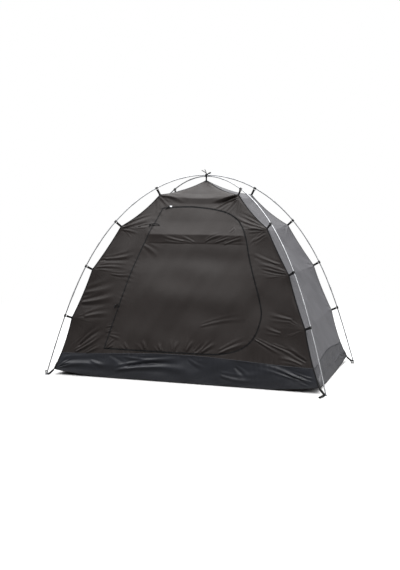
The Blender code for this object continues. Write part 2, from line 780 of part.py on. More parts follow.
def make_apex_strap():
    """The strap that hangs the fabric's peak from the crossing: a band round both poles."""
    half_height = 2 * POLE_RADIUS + APEX_BAND_GAP
    centre = (0, 0, CROSSING_HEIGHT)
    outer = (
        APEX_BAND_WIDTH, 2 * (APEX_BAND_HALF + WEBBING_THICK), 2 * (half_height + WEBBING_THICK),
    )
    bm = bmesh.new()
    box_mesh(bm, outer, centre)
    strap = object_from_bmesh("apex_strap", bm, "webbing")
    bm = bmesh.new()
    box_mesh(bm, (2 * APEX_BAND_WIDTH, 2 * APEX_BAND_HALF, 2 * half_height), centre)
    boolean(strap, object_from_bmesh("band_hollow_cutter", bm, None), "DIFFERENCE")
    stem_low = PEAK_HEIGHT - APEX_STEM_DEPTH
    stem_high = CROSSING_HEIGHT - half_height - WEBBING_THICK / 2
    stem = (APEX_BAND_WIDTH, WEBBING_THICK, stem_high - stem_low)
    bm = bmesh.new()
    box_mesh(bm, stem, (0, 0, (stem_low + stem_high) / 2))
    boolean(strap, object_from_bmesh("apex_stem_tool", bm, None), "UNION")
    boolean(strap, peak_plug(), "UNION")


def peak_plug():
    """A small patch that closes the hole where the four roof triangles meet."""
    level = PEAK_LEVEL - PEAK_HOLE_RUN / ANCHORS[-2][0]
    bm = bmesh.new()
    rings = []
    for inset in (0, FABRIC_THICK):
        y = min(-wall_point("front", across, level, inset).y for across in (0, 1)) - PEAK_PLUG_GAP
        x = min(wall_point("right", across, level, inset).x for across in (0, 1)) - PEAK_PLUG_GAP
        z = wall_point("front", 1.0, level, inset).z
        rings.append([bm.verts.new((a * x, b * y, z)) for a, b in ((-1, -1), (1, -1), (1, 1), (-1, 1))])
    for ring in rings:
        bm.faces.new(ring)
    for i in range(4):
        bm.faces.new((rings[0][i - 1], rings[0][i], rings[1][i], rings[1][i - 1]))
    return object_from_bmesh("peak_plug_tool", bm, None)


def rod(name, start, end, radius, kind):
    """A round rod between two points."""
    start, end = Vector(start), Vector(end)
    run = end - start
    bm = bmesh.new()
    bmesh.ops.create_cone(
        bm, cap_ends=True, segments=ROD_SIDES, radius1=radius, radius2=radius, depth=run.length,
    )
    made = object_from_bmesh(name, bm, kind)
    turn = run.to_track_quat("Z", "Y").to_matrix().to_4x4()
    made.matrix_world = Matrix.Translation((start + end) / 2) @ turn
    return made


def make_apex_toggle():
    """The toggle that locks the crossing's tie, lying in front of the band."""
    y = -(APEX_BAND_HALF + WEBBING_THICK + APEX_TOGGLE_RADIUS + TOUCH_GAP)
    start, end = [(x, y, CROSSING_HEIGHT + rise) for x, rise in APEX_TOGGLE_ENDS]
    rod("apex_toggle", start, end, APEX_TOGGLE_RADIUS, "plastic")


def make_apex_cord_ends():
    """The two knotted ends of the tie's cord, standing up over the band."""
    top = CROSSING_HEIGHT + 2 * POLE_RADIUS + APEX_BAND_GAP + WEBBING_THICK + TOUCH_GAP
    middle = (0, 0, top + APEX_KNOT_RADIUS)
    bm = bmesh.new()
    bmesh.ops.create_icosphere(bm, subdivisions=2, radius=APEX_KNOT_RADIUS)
    bmesh.ops.translate(bm, verts=bm.verts, vec=middle)
    ends = object_from_bmesh("apex_cord_ends", bm, "webbing")
    for name, (x, rise) in APEX_CORD_TIPS.items():
        end = rod(f"cord_end_tool_{name}", middle, (x, 0, top + rise), APEX_CORD_RADIUS, None)
        boolean(ends, end, "UNION")


def remove_everything():
    for obj in list(bpy.data.objects):
        bpy.data.objects.remove(obj)


def build():
    remove_everything()
    make_floor()
    for facing in ("front", "back"):
        make_tub(facing, "tub")
        make_roof(facing, "wall")
    for facing in ("left", "right"):
        make_tub(facing, "tub_side")
        make_wall(facing, "side")
        make_roof(facing, "side")
    make_wall("back", "wall")
    make_front_wall_and_door()
    make_zip()
    make_slider()
    for name, height in TOGGLE_HEIGHTS.items():
        make_toggle(name, height)
    make_pole("front_left", "back_right")
    make_pole("front_right", "back_left")
    for leg in LEGS:
        for number in range(1, CLIPS_PER_LEG + 1):
            make_clip(leg, number)
        make_corner_strap(leg)
        make_foot_ring(leg)
        make_peg_loop(leg)
    make_apex_strap()
    make_apex_toggle()
    make_apex_cord_ends()


build()
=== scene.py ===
# %% [markdown]
# # A clip-on dome tent
#
# Two bent poles cross over the middle, and a dark inner tent hangs under them from sixteen
# clips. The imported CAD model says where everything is. This script dresses it: real cloth
# with folds, bound seams, a zip with teeth, webbing and moulded hooks.

import json
import math

import bmesh
import bpy
import numpy as np
from mathutils import Matrix, Vector, geometry, kdtree


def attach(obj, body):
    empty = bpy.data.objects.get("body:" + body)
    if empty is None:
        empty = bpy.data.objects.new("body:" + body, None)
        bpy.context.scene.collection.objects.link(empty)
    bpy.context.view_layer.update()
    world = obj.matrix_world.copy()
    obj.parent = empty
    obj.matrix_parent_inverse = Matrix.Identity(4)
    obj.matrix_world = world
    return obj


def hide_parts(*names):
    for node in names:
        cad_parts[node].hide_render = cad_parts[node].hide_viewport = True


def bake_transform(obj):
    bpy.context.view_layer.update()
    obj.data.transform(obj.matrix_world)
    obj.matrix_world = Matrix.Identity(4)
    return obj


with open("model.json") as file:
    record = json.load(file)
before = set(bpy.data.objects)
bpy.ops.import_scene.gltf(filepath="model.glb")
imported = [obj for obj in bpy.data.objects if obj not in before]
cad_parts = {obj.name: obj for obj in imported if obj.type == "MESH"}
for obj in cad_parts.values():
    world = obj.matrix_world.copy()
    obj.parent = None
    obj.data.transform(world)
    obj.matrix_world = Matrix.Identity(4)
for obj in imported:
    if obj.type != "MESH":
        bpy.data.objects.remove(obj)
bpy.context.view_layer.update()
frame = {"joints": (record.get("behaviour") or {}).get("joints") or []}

# %% [markdown]
# ## The tent's own numbers
#
# A tent maker would start from the poles: how far apart their feet stand, how high they
# cross, and where the clips sit. The CAD part is built from the same numbers, so cloth made
# from them lands exactly on it.

# %% Sizes in metres
FOOT_HALF_X, FOOT_HALF_Y = 1.115, 0.685
CROSSING_HEIGHT = 1.577
POLE_RADIUS = 0.00475
BEND_POWER = 2.23
CLIPS_PER_LEG, CLIP_PITCH, STRAP_LENGTH = 4, 0.426, 0.054
PEAK_HEIGHT, PEAK_HOLE_RUN = 1.539, 0.018
CORNER_RUN, CORNER_LIFT = 1.246, 0.040
FLOOR_HALF_X, FLOOR_HALF_Y = 1.045, 0.638
LIFT_START_X, LIFT_START_Y, LIFT_POWER = 0.52, 0.22, 2.2
SPAN_SAGS, EDGE_SAG_FADE = (0.012, 0.008, 0.006, 0.018, 0.022), 3
WALL_BOW, CREASE_DROP = 0.06, 0.02
TUB_TOP_CORNER, TUB_TOP_RISE, TUB_RISE_POWER = 0.33, 0.085, 2.3
FLOOR_THICK, TOUCH_GAP = 0.003, 0.0004
DOOR_SEAM = [(-0.643, 0.226), (-0.547, 0.553), (-0.447, 0.895), (-0.284, 1.317)]
DOOR_ZIP = [
    (-0.284, 1.317), (-0.035, 1.326), (0.250, 1.282), (0.398, 1.167), (0.481, 0.919), (0.577, 0.643),
    (0.598, 0.500), (0.526, 0.329), (0.339, 0.241), (0.000, 0.226), (-0.643, 0.226),
]
HALF_DIAGONAL = math.hypot(FOOT_HALF_X, FOOT_HALF_Y)
LEGS = {"front_left": (-1, -1), "front_right": (1, -1), "back_right": (1, 1), "back_left": (-1, 1)}
WALLS = ("front", "back", "left", "right")
CLOTH_THICK = 0.0012

# %% [markdown]
# ## The curve of a pole
#
# A tent pole is straight until it is bent between its two feet. The bend is strongest in the
# middle and fades towards the feet, so the slope falls from the foot's angle to level. The
# angle at the foot is found by halving an interval until the pole reaches its crown.

# %% Pole curve
def pole_half(crown, samples=600):
    """Length, foot slope, and the runs and rises of half a pole from foot to crown."""
    share = (np.arange(samples) + 0.5) / samples
    low, high = math.radians(40), math.radians(110)
    for _ in range(50):
        foot_slope = (low + high) / 2
        slopes = foot_slope * (1 - share**BEND_POWER)
        run, rise = np.cumsum(np.cos(slopes)) / samples, np.cumsum(np.sin(slopes)) / samples
        if run[-1] / rise[-1] > HALF_DIAGONAL / crown:
            low = foot_slope
        else:
            high = foot_slope
    length = crown / rise[-1]
    return length, foot_slope, np.append(0, run * length), np.append(0, rise * length)


def pole_place(half, along):
    """Distance from the middle, height and slope at lengths measured up from the foot."""
    length, foot_slope, runs, rises = half
    at = np.linspace(0, length, len(runs))
    out = HALF_DIAGONAL - np.interp(along, at, runs)
    return out, np.interp(along, at, rises), foot_slope * (1 - (np.asarray(along) / length) ** BEND_POWER)


def leg_axes(leg):
    """Unit vectors of a leg: out along its diagonal, and across it."""
    out = np.array([LEGS[leg][0] * FOOT_HALF_X, LEGS[leg][1] * FOOT_HALF_Y, 0]) / HALF_DIAGONAL
    return out, np.cross([0, 0, 1], out)


def pole_crown(leg):
    """The first pole passes over the second one."""
    spread = POLE_RADIUS + TOUCH_GAP / 2
    return CROSSING_HEIGHT + (spread if leg in ("front_left", "back_right") else -spread)


middle_half = pole_half(CROSSING_HEIGHT)
clip_ups = middle_half[0] - CLIP_PITCH * np.arange(CLIPS_PER_LEG, 0, -1)
clip_out, clip_height, clip_slope = pole_place(middle_half, clip_ups)
ANCHORS = np.vstack([
    [CORNER_RUN, CORNER_LIFT],
    np.stack([clip_out - STRAP_LENGTH * np.sin(clip_slope), clip_height - STRAP_LENGTH * np.cos(clip_slope)], 1),
    [0.0, PEAK_HEIGHT],
])
PEAK_LEVEL = len(ANCHORS) - 1
SPAN_LENGTHS = np.linalg.norm(np.diff(ANCHORS, axis=0), axis=1)
print("pole length:", round(2 * middle_half[0], 3), "m; seam anchors:", ANCHORS.round(3).tolist())

# %% [markdown]
# ## The surface of the hung cloth
#
# The cloth is held at its corners, at every clip and at the peak. Between two clips the seam
# hangs in a shallow arc. A level counts the anchors up a seam: 0 is the corner, 5 the peak.
# Each wall is described by a share across (-1 to 1) and a level, and the inverse turns a
# place on a wall, (along, height), back into those shares.

# %% Seam curve and wall surface
def split_level(level):
    span = np.clip(level.astype(int), 0, PEAK_LEVEL - 1)
    return span, (level - span)[:, None]


def hung_edge(level):
    """(out, height) of a corner seam, which sags between its anchors."""
    span, share = split_level(level)
    along = (ANCHORS[span + 1] - ANCHORS[span]) / SPAN_LENGTHS[span][:, None]
    inward = np.stack([-along[:, 1], along[:, 0]], 1)
    inward *= np.where(inward[:, 1:] > 0, -1, 1)
    sag = np.array(SPAN_SAGS)[span][:, None] * 4 * share * (1 - share)
    return ANCHORS[span] + (ANCHORS[span + 1] - ANCHORS[span]) * share + inward * sag


def hung_middle(level):
    """(out, height) of the smooth curve that the middle of a wall follows."""
    span, s = split_level(level)
    keys = np.vstack([2 * ANCHORS[0] - ANCHORS[1], ANCHORS, 2 * ANCHORS[-1] - ANCHORS[-2]])
    a, b, c, d = (keys[span + i] for i in range(4))
    return (2 * b + (c - a) * s + (2 * a - 5 * b + 4 * c - d) * s**2 + (3 * b - a - 3 * c + d) * s**3) / 2


def arc_share(level):
    ends = np.append(0, np.cumsum(SPAN_LENGTHS))
    return np.interp(level, range(PEAK_LEVEL + 1), ends / ends[-1])


def wall_halves(wall):
    """Half the foot distance along a wall, and half the distance across the tent from it."""
    return (FOOT_HALF_X, FOOT_HALF_Y) if wall in ("front", "back") else (FOOT_HALF_Y, FOOT_HALF_X)


def wall_local(wall, across, level):
    """(along, deep, height) of a wall's cloth."""
    half_along, half_deep = wall_halves(wall)
    depth_share = half_deep / HALF_DIAGONAL
    edge, middle = hung_edge(level), hung_middle(level)
    out, height = (middle + (edge - middle) * (np.abs(across) ** EDGE_SAG_FADE)[:, None]).T
    rises, runs = np.diff(ANCHORS[:, 1]), -np.diff(ANCHORS[:, 0]) * depth_share
    slope = np.interp(level, np.arange(PEAK_LEVEL) + 0.5, np.arctan2(rises, runs))
    bow = WALL_BOW * np.sin(np.pi * arc_share(level) ** 1.5) * (1 - across**2)
    along = across * (edge[:, 0] * half_along / HALF_DIAGONAL - TOUCH_GAP)
    return np.stack([along, out * depth_share - np.sin(slope) * bow, height - np.cos(slope) * bow], 1)


def turn_to_wall(wall, local):
    """Local (along, deep, height) rows to x, y, z."""
    along, deep, height = local.T
    x, y = {"front": (along, -deep), "back": (-along, deep), "right": (deep, along), "left": (-deep, -along)}[wall]
    return np.stack([x, y, height], 1)


def wall_shares(wall, places):
    """The shares across and levels of (along, height) places on a wall."""
    low, high = np.full(len(places), 0.0), np.full(len(places), PEAK_LEVEL - 0.01)
    for _ in range(34):
        level = (low + high) / 2
        half = wall_local(wall, np.ones(len(places)), level)[:, 0]
        across = np.clip(places[:, 0] / half, -1, 1)
        below = wall_local(wall, across, level)[:, 2] < places[:, 1]
        low, high = np.where(below, level, low), np.where(below, high, level)
    return across, level


def unit(rows):
    return rows / np.linalg.norm(rows, axis=-1, keepdims=True)


def wall_normal(wall, across, level, step=0.01):
    """Outward unit normals in the wall's local frame."""
    side = wall_local(wall, across + step, level) - wall_local(wall, across - step, level)
    rise = wall_local(wall, across, level + step) - wall_local(wall, across, level - step)
    normal = unit(np.cross(side, rise))
    return normal * np.where(normal[:, 1:2] < 0, -1, 1)


def tub_level(across):
    return TUB_TOP_CORNER + TUB_TOP_RISE * (1 - across**2) ** TUB_RISE_POWER


def crease_level(across):
    return PEAK_LEVEL - 1 - CREASE_DROP * (1 - across**2)


ROOF_TOP = PEAK_LEVEL - PEAK_HOLE_RUN / ANCHORS[-2][0]
middle_line = wall_local("front", np.zeros(200), np.linspace(0.4, ROOF_TOP, 200))
print("front wall, slope length:", round(float(np.linalg.norm(np.diff(middle_line, axis=0), axis=1).sum()), 3), "m")

# %% [markdown]
# ## Small helpers for node trees
#
# Lights, finishes and repeated parts are all made with nodes. These helpers add a node, set
# its named inputs and link what is passed to them, so each tree reads like a recipe.

# %% Node helpers
def add_node(tree, kind, settings=None, **inputs):
    """A node with its settings, and values or links for its named inputs."""
    node = tree.nodes.new(kind)
    for key, value in (settings or {}).items():
        setattr(node, key, value)
    for key, value in inputs.items():
        socket = node.inputs[int(key[1:])] if key[0] == "_" and key[1:].isdigit() else node.inputs[key.replace("_", " ")]
        if isinstance(value, bpy.types.NodeSocket):
            tree.links.new(value, socket)
        else:
            socket.default_value = value
    return node


def maths(tree, operation, first, second=0.0, third=0.0):
    return add_node(tree, "ShaderNodeMath", {"operation": operation}, _0=first, _1=second, _2=third).outputs[0]


def mix_colour(tree, share, first, second, blend="MIX"):
    node = tree.nodes.new("ShaderNodeMix")
    node.data_type, node.blend_type = "RGBA", blend
    for index, value in ((0, share), (6, first), (7, second)):
        if isinstance(value, bpy.types.NodeSocket):
            tree.links.new(value, node.inputs[index])
        else:
            node.inputs[index].default_value = value
    return node.outputs[2]


def shader_group(name, inputs, outputs):
    group = bpy.data.node_groups.new(name, "ShaderNodeTree")
    for label, kind, value in inputs:
        socket = group.interface.new_socket(label, in_out="INPUT", socket_type="NodeSocket" + kind)
        socket.default_value = value
    for label, kind in outputs:
        group.interface.new_socket(label, in_out="OUTPUT", socket_type="NodeSocket" + kind)
    return group, group.nodes.new("NodeGroupInput"), group.nodes.new("NodeGroupOutput")


# %% [markdown]
# ## Camera, floor and light
#
# The photograph is a studio cut-out: one long-lens view from the front right, white all
# round, and a broad soft light from above that brightens the roof triangle and leaves the
# upright cloth dark. The floor is pale and the light comes from big area lamps.

# %% Camera
camera_data = bpy.data.cameras.new("studio_camera")
camera_data.lens = 55.08
camera_data.shift_x, camera_data.shift_y = 0.0332, 0.0094
camera = bpy.data.objects.new("studio_camera", camera_data)
camera.location = (2.1332, -6.7930, 1.4272)
camera.rotation_euler = (math.radians(83.707), 0, math.radians(19.080))
bpy.context.scene.collection.objects.link(camera)
bpy.context.scene.camera = camera
bpy.context.scene.view_settings.view_transform = "Standard"

# %% Sky, floor and lamps
SKY_TOP, SKY_LOW = 2.8, 0.05
studio = bpy.data.worlds.new("studio_white")
bpy.context.scene.world = studio
studio.use_nodes = True
sky = studio.node_tree
sky_height = add_node(sky, "ShaderNodeSeparateXYZ", _0=add_node(sky, "ShaderNodeTexCoord").outputs["Generated"]).outputs["Z"]
sky_strength = add_node(
    sky, "ShaderNodeMapRange", {"interpolation_type": "SMOOTHSTEP"}, Value=sky_height,
    From_Min=0.25, From_Max=1.0, To_Min=SKY_LOW, To_Max=SKY_TOP,
).outputs["Result"]
sky_light = add_node(sky, "ShaderNodeBackground", Color=(1, 1, 1, 1), Strength=sky_strength)
sky_seen = add_node(sky, "ShaderNodeBackground", Color=(1, 1, 1, 1))
seen = add_node(sky, "ShaderNodeLightPath").outputs["Is Camera Ray"]
sky_mix = add_node(sky, "ShaderNodeMixShader", _0=seen, _1=sky_light.outputs[0], _2=sky_seen.outputs[0])
sky.links.new(sky_mix.outputs[0], sky.nodes["World Output"].inputs["Surface"])


def area_lamp(name, size, power, place, target):
    data = bpy.data.lights.new(name, "AREA")
    data.shape, data.size, data.energy = "SQUARE", size, power
    lamp = bpy.data.objects.new(name, data)
    lamp.location = place
    lamp.rotation_euler = (Vector(target) - Vector(place)).to_track_quat("-Z", "Y").to_euler()
    bpy.context.scene.collection.objects.link(lamp)


area_lamp("lamp_overhead", 4.0, 40, (0.3, 1.2, 4.2), (0, 0, 0.8))
area_lamp("lamp_right", 2.5, 62, (5.0, 0.3, 1.7), (0.6, 0, 0.6))

floor_mesh = bpy.data.meshes.new("studio_floor")
floor_mesh.from_pydata([(-30, -30, -0.002), (30, -30, -0.002), (30, 30, -0.002), (-30, 30, -0.002)], [], [(0, 1, 2, 3)])
studio_floor = bpy.data.objects.new("studio_floor", floor_mesh)
bpy.context.scene.collection.objects.link(studio_floor)
print("camera, floor and", len(bpy.data.lights), "lamps made")

# %% [markdown]
# ## Shared effects as shader groups
#
# Three effects turn up in many finishes: the weave of a cloth, the uneven fade and dust of
# something used outdoors, and the fine scratches of drawn metal. Each is one node group with
# named inputs, so a finish only has to give its own colours and sizes.

# %% Weave group
weave, weave_in, weave_out = shader_group(
    "woven_threads",
    [("Colour", "Color", (0.05, 0.05, 0.05, 1)), ("Thread Pitch", "Float", 0.0006), ("Contrast", "Float", 0.25),
     ("Slub", "Float", 0.5)],
    [("Colour", "Color"), ("Height", "Float"), ("Slub", "Float")],
)
cloth_place = add_node(weave, "ShaderNodeTexCoord").outputs["UV"]
thread_scale = maths(weave, "DIVIDE", 2 * math.pi, weave_in.outputs["Thread Pitch"])
flat = add_node(weave, "ShaderNodeSeparateXYZ", _0=cloth_place).outputs
warp = maths(weave, "SINE", maths(weave, "MULTIPLY", flat["X"], thread_scale))
weft = maths(weave, "SINE", maths(weave, "MULTIPLY", flat["Y"], thread_scale))
over_under = maths(weave, "MULTIPLY", warp, weft)
long_threads = add_node(weave, "ShaderNodeMapping", Vector=cloth_place, Scale=(900.0, 12.0, 1.0)).outputs[0]
short_threads = add_node(weave, "ShaderNodeMapping", Vector=cloth_place, Scale=(12.0, 900.0, 1.0)).outputs[0]
warp_slub = add_node(weave, "ShaderNodeTexNoise", Vector=long_threads, Scale=1.0, Detail=2.0).outputs["Fac"]
weft_slub = add_node(weave, "ShaderNodeTexNoise", Vector=short_threads, Scale=1.0, Detail=2.0).outputs["Fac"]
slubs = maths(weave, "SUBTRACT", maths(weave, "ADD", warp_slub, weft_slub), 1.0)
slub_part = maths(weave, "MULTIPLY", slubs, weave_in.outputs["Slub"])
shade = maths(weave, "ADD", maths(weave, "MULTIPLY", over_under, 0.5), slub_part)
shade = maths(weave, "MULTIPLY_ADD", shade, weave_in.outputs["Contrast"], 1.0)
shaded = mix_colour(weave, 1.0, weave_in.outputs["Colour"], shade, "MULTIPLY")
weave.links.new(shaded, weave_out.inputs["Colour"])
weave.links.new(maths(weave, "ADD", over_under, slub_part), weave_out.inputs["Height"])
weave.links.new(slubs, weave_out.inputs["Slub"])

# %% Fade and dust group
fade, fade_in, fade_out = shader_group(
    "fade_and_dust",
    [("Colour", "Color", (0.05, 0.05, 0.05, 1)), ("Patch Size", "Float", 0.18), ("Fade", "Float", 0.12),
     ("Dust Colour", "Color", (0.30, 0.27, 0.23, 1)), ("Dust Height", "Float", 0.12), ("Dust", "Float", 0.06)],
    [("Colour", "Color"), ("Patches", "Float")],
)
body_place = add_node(fade, "ShaderNodeTexCoord").outputs["Object"]
patch_scale = maths(fade, "DIVIDE", 1.0, fade_in.outputs["Patch Size"])
patches = add_node(fade, "ShaderNodeTexNoise", Vector=body_place, Scale=patch_scale, Detail=4.0, Roughness=0.55)
patches = maths(fade, "SUBTRACT", patches.outputs["Fac"], 0.5)
level_shade = maths(fade, "MULTIPLY_ADD", patches, maths(fade, "MULTIPLY", fade_in.outputs["Fade"], 2.0), 1.0)
faded = mix_colour(fade, 1.0, fade_in.outputs["Colour"], level_shade, "MULTIPLY")
body_height = add_node(fade, "ShaderNodeSeparateXYZ", _0=body_place).outputs["Z"]
near_ground = maths(fade, "SUBTRACT", 1.0, maths(fade, "DIVIDE", body_height, fade_in.outputs["Dust Height"]))
near_ground = add_node(fade, "ShaderNodeClamp", Value=near_ground).outputs[0]
specks = add_node(fade, "ShaderNodeTexNoise", Vector=body_place, Scale=140.0, Detail=3.0).outputs["Fac"]
specks = add_node(fade, "ShaderNodeMapRange", Value=specks, From_Min=0.42, From_Max=0.7).outputs["Result"]
dust_share = maths(fade, "MULTIPLY", maths(fade, "MULTIPLY", specks, near_ground), fade_in.outputs["Dust"])
dusty = mix_colour(fade, dust_share, faded, fade_in.outputs["Dust Colour"])
fade.links.new(dusty, fade_out.inputs["Colour"])
fade.links.new(patches, fade_out.inputs["Patches"])

# %% Drawn metal group
drawn, drawn_in, drawn_out = shader_group(
    "drawn_metal",
    [("Colour", "Color", (0.75, 0.76, 0.78, 1)), ("Roughness", "Float", 0.3), ("Scratches", "Float", 0.3)],
    [("Colour", "Color"), ("Roughness", "Float"), ("Height", "Float")],
)
metal_place = add_node(drawn, "ShaderNodeTexCoord").outputs["Object"]
streaks = add_node(drawn, "ShaderNodeTexNoise", Vector=metal_place, Scale=900.0, Detail=2.0).outputs["Fac"]
smears = add_node(drawn, "ShaderNodeTexNoise", Vector=metal_place, Scale=35.0, Detail=5.0).outputs["Fac"]
smear_part = maths(drawn, "SUBTRACT", smears, 0.5)
roughness = maths(drawn, "MULTIPLY_ADD", smear_part, drawn_in.outputs["Scratches"], drawn_in.outputs["Roughness"])
tarnish = maths(drawn, "MULTIPLY_ADD", smear_part, 0.35, 1.0)
drawn.links.new(mix_colour(drawn, 1.0, drawn_in.outputs["Colour"], tarnish, "MULTIPLY"), drawn_out.inputs["Colour"])
drawn.links.new(roughness, drawn_out.inputs["Roughness"])
drawn.links.new(streaks, drawn_out.inputs["Height"])
print("shader groups:", [group.name for group in bpy.data.node_groups])

# %% [markdown]
# ## Finishes
#
# The inner tent is charcoal-brown polyester on the front and back. The side walls are a lighter
# grey, partly their own grey fabric and partly painted light for the lamp from the right and the
# sheen at a grazing view; the side tubs are a lighter copy of the tub cloth, painted light of the
# same kind. The tub and groundsheet are coated and a little shinier. All cloths share one recipe:
# the weave feeds the fade, and the threads' height feeds a bump. Sheen and gloss are plain
# numbers on the shader, because they are the same all over a cloth.

# %% Cloth finishes
def group_node(tree, group, **inputs):
    node = tree.nodes.new("ShaderNodeGroup")
    node.node_tree = group
    for key, value in inputs.items():
        socket = node.inputs[key.replace("_", " ")]
        if isinstance(value, bpy.types.NodeSocket):
            tree.links.new(value, socket)
        else:
            socket.default_value = value
    return node


def new_finish(name):
    finish = bpy.data.materials.new(name)
    finish.use_nodes = True
    return finish, finish.node_tree, finish.node_tree.nodes["Principled BSDF"]


def cloth_finish(name, colour, roughness, sheen, specular, pitch=0.0006, contrast=0.25, fade_share=0.12,
                 dust=0.05, bump=0.0002, coat=0.0):
    """A woven finish in one colour."""
    finish, tree, shader = new_finish(name)
    threads = group_node(tree, weave, Colour=(*colour, 1), Thread_Pitch=pitch, Contrast=contrast)
    worn = group_node(tree, fade, Colour=threads.outputs["Colour"], Fade=fade_share, Dust=dust)
    tree.links.new(worn.outputs["Colour"], shader.inputs["Base Color"])
    rough = maths(tree, "MULTIPLY_ADD", worn.outputs["Patches"], 0.25, roughness)
    tree.links.new(rough, shader.inputs["Roughness"])
    raised = add_node(tree, "ShaderNodeBump", Height=threads.outputs["Height"], Distance=bump, Strength=0.5)
    tree.links.new(raised.outputs[0], shader.inputs["Normal"])
    shader.inputs["Sheen Weight"].default_value = sheen
    shader.inputs["Sheen Roughness"].default_value = 0.4
    shader.inputs["Sheen Tint"].default_value = (0.8, 0.8, 0.82, 1)
    shader.inputs["Specular IOR Level"].default_value = specular
    shader.inputs["Coat Weight"].default_value = coat
    shader.inputs["Coat Roughness"].default_value = 0.35
    return finish


wall_cloth = cloth_finish("wall_cloth", (0.0305, 0.0238, 0.0218), 0.46, 0.04, 0.42)
# The side walls' grey is partly their own grey fabric and partly painted light: it is raised to stand in for the lamp
# from the right and the sheen seen at a grazing angle.
side_grey_and_painted_light = cloth_finish("side_grey_and_painted_light", (0.128, 0.127, 0.137), 0.46, 0.08, 0.42)
tub_cloth = cloth_finish("tub_cloth", (0.028, 0.030, 0.038), 0.38, 0.04, 0.60, dust=0.10, coat=0.05)
# The side tubs are a lighter copy of the tub cloth: painted light for the lamp from the right and the sheen at a
# grazing angle.
tub_side_painted_light = cloth_finish("tub_side_painted_light", (0.088, 0.088, 0.096), 0.40, 0.05, 0.42, dust=0.10, coat=0.05)
groundsheet_cloth = cloth_finish("groundsheet_cloth", (0.030, 0.032, 0.038), 0.42, 0.03, 0.4, dust=0.15)
webbing_cloth = cloth_finish("webbing_cloth", (0.010, 0.010, 0.011), 0.65, 0.10, 0.3, pitch=0.0016, contrast=0.6, bump=0.0006)
tape_cloth = cloth_finish("tape_cloth", (0.011, 0.011, 0.012), 0.60, 0.08, 0.3, pitch=0.0010, contrast=0.5, bump=0.0004)
thread_cloth = cloth_finish("thread_cloth", (0.020, 0.019, 0.019), 0.55, 0.10, 0.3, pitch=0.0005, contrast=0.5)


# %% Metal, plastic and floor finishes
def metal_finish(name, colour, roughness, scratches):
    finish, tree, shader = new_finish(name)
    surface = group_node(tree, drawn, Colour=(*colour, 1), Roughness=roughness, Scratches=scratches)
    tree.links.new(surface.outputs["Colour"], shader.inputs["Base Color"])
    tree.links.new(surface.outputs["Roughness"], shader.inputs["Roughness"])
    raised = add_node(tree, "ShaderNodeBump", Height=surface.outputs["Height"], Distance=0.00005, Strength=0.3)
    tree.links.new(raised.outputs[0], shader.inputs["Normal"])
    shader.inputs["Metallic"].default_value = 1.0
    return finish


def plastic_finish(name, colour, roughness):
    """Moulded plastic: a fine spark-eroded grain and slightly uneven gloss."""
    finish, tree, shader = new_finish(name)
    worn = group_node(tree, fade, Colour=(*colour, 1), Patch_Size=0.01, Fade=0.3, Dust=0.05)
    tree.links.new(worn.outputs["Colour"], shader.inputs["Base Color"])
    place = add_node(tree, "ShaderNodeTexCoord").outputs["Object"]
    grain = add_node(tree, "ShaderNodeTexNoise", Vector=place, Scale=2500.0, Detail=2.0).outputs["Fac"]
    tree.links.new(maths(tree, "MULTIPLY_ADD", grain, 0.2, roughness - 0.1), shader.inputs["Roughness"])
    raised = add_node(tree, "ShaderNodeBump", Height=grain, Distance=0.00006, Strength=0.4)
    tree.links.new(raised.outputs[0], shader.inputs["Normal"])
    return finish


pole_metal = metal_finish("pole_metal", (0.60, 0.61, 0.63), 0.42, 0.20)
pole_metal.node_tree.nodes["Principled BSDF"].inputs["Metallic"].default_value = 0.85
ring_metal = metal_finish("ring_metal", (0.55, 0.56, 0.58), 0.36, 0.35)
slider_metal = metal_finish("slider_metal", (0.80, 0.80, 0.82), 0.36, 0.30)
moulded_plastic = plastic_finish("moulded_plastic", (0.014, 0.014, 0.015), 0.38)
coil_nylon = plastic_finish("coil_nylon", (0.007, 0.007, 0.008), 0.62)
pale_floor, pale_tree, pale_shader = new_finish("pale_floor")
pale_place = add_node(pale_tree, "ShaderNodeTexCoord").outputs["Object"]
pale_noise = add_node(pale_tree, "ShaderNodeTexNoise", Vector=pale_place, Scale=0.6, Detail=3.0).outputs["Fac"]
pale_colour = mix_colour(pale_tree, pale_noise, (0.86, 0.86, 0.86, 1), (0.90, 0.90, 0.90, 1))
pale_tree.links.new(pale_colour, pale_shader.inputs["Base Color"])
pale_shader.inputs["Roughness"].default_value = 0.9
pale_shader.inputs["Specular IOR Level"].default_value = 0.1
soft_bounce = add_node(pale_tree, "ShaderNodeBsdfDiffuse", Color=(0.12, 0.12, 0.12, 1))
lit_far = add_node(pale_tree, "ShaderNodeEmission", Color=(1, 1, 1, 1), Strength=1.0)
how_far = add_node(pale_tree, "ShaderNodeVectorMath", {"operation": "LENGTH"}, _0=pale_place).outputs["Value"]
how_far = add_node(pale_tree, "ShaderNodeMapRange", Value=how_far, From_Min=2.0, From_Max=5.0).outputs["Result"]
pale_seen = add_node(pale_tree, "ShaderNodeMixShader", _0=how_far, _1=pale_shader.outputs[0], _2=lit_far.outputs[0])
pale_ray = add_node(pale_tree, "ShaderNodeLightPath").outputs["Is Camera Ray"]
pale_mix = add_node(pale_tree, "ShaderNodeMixShader", _0=pale_ray, _1=soft_bounce.outputs[0], _2=pale_seen.outputs[0])
pale_tree.links.new(pale_mix.outputs[0], pale_tree.nodes["Material Output"].inputs["Surface"])
floor_mesh.materials.append(pale_floor)
print("finishes:", len(bpy.data.materials))

# %% [markdown]
# ## From numbers to meshes
#
# Almost everything on a tent is either a cloth or a strip. A cloth is a sheet of faces that
# gets a back side and a hem, so that it is a closed body as thin as cloth. A strip or a
# rod is one closed profile carried along a line. Both get a UV map in metres, so that the
# weave is the same size everywhere.

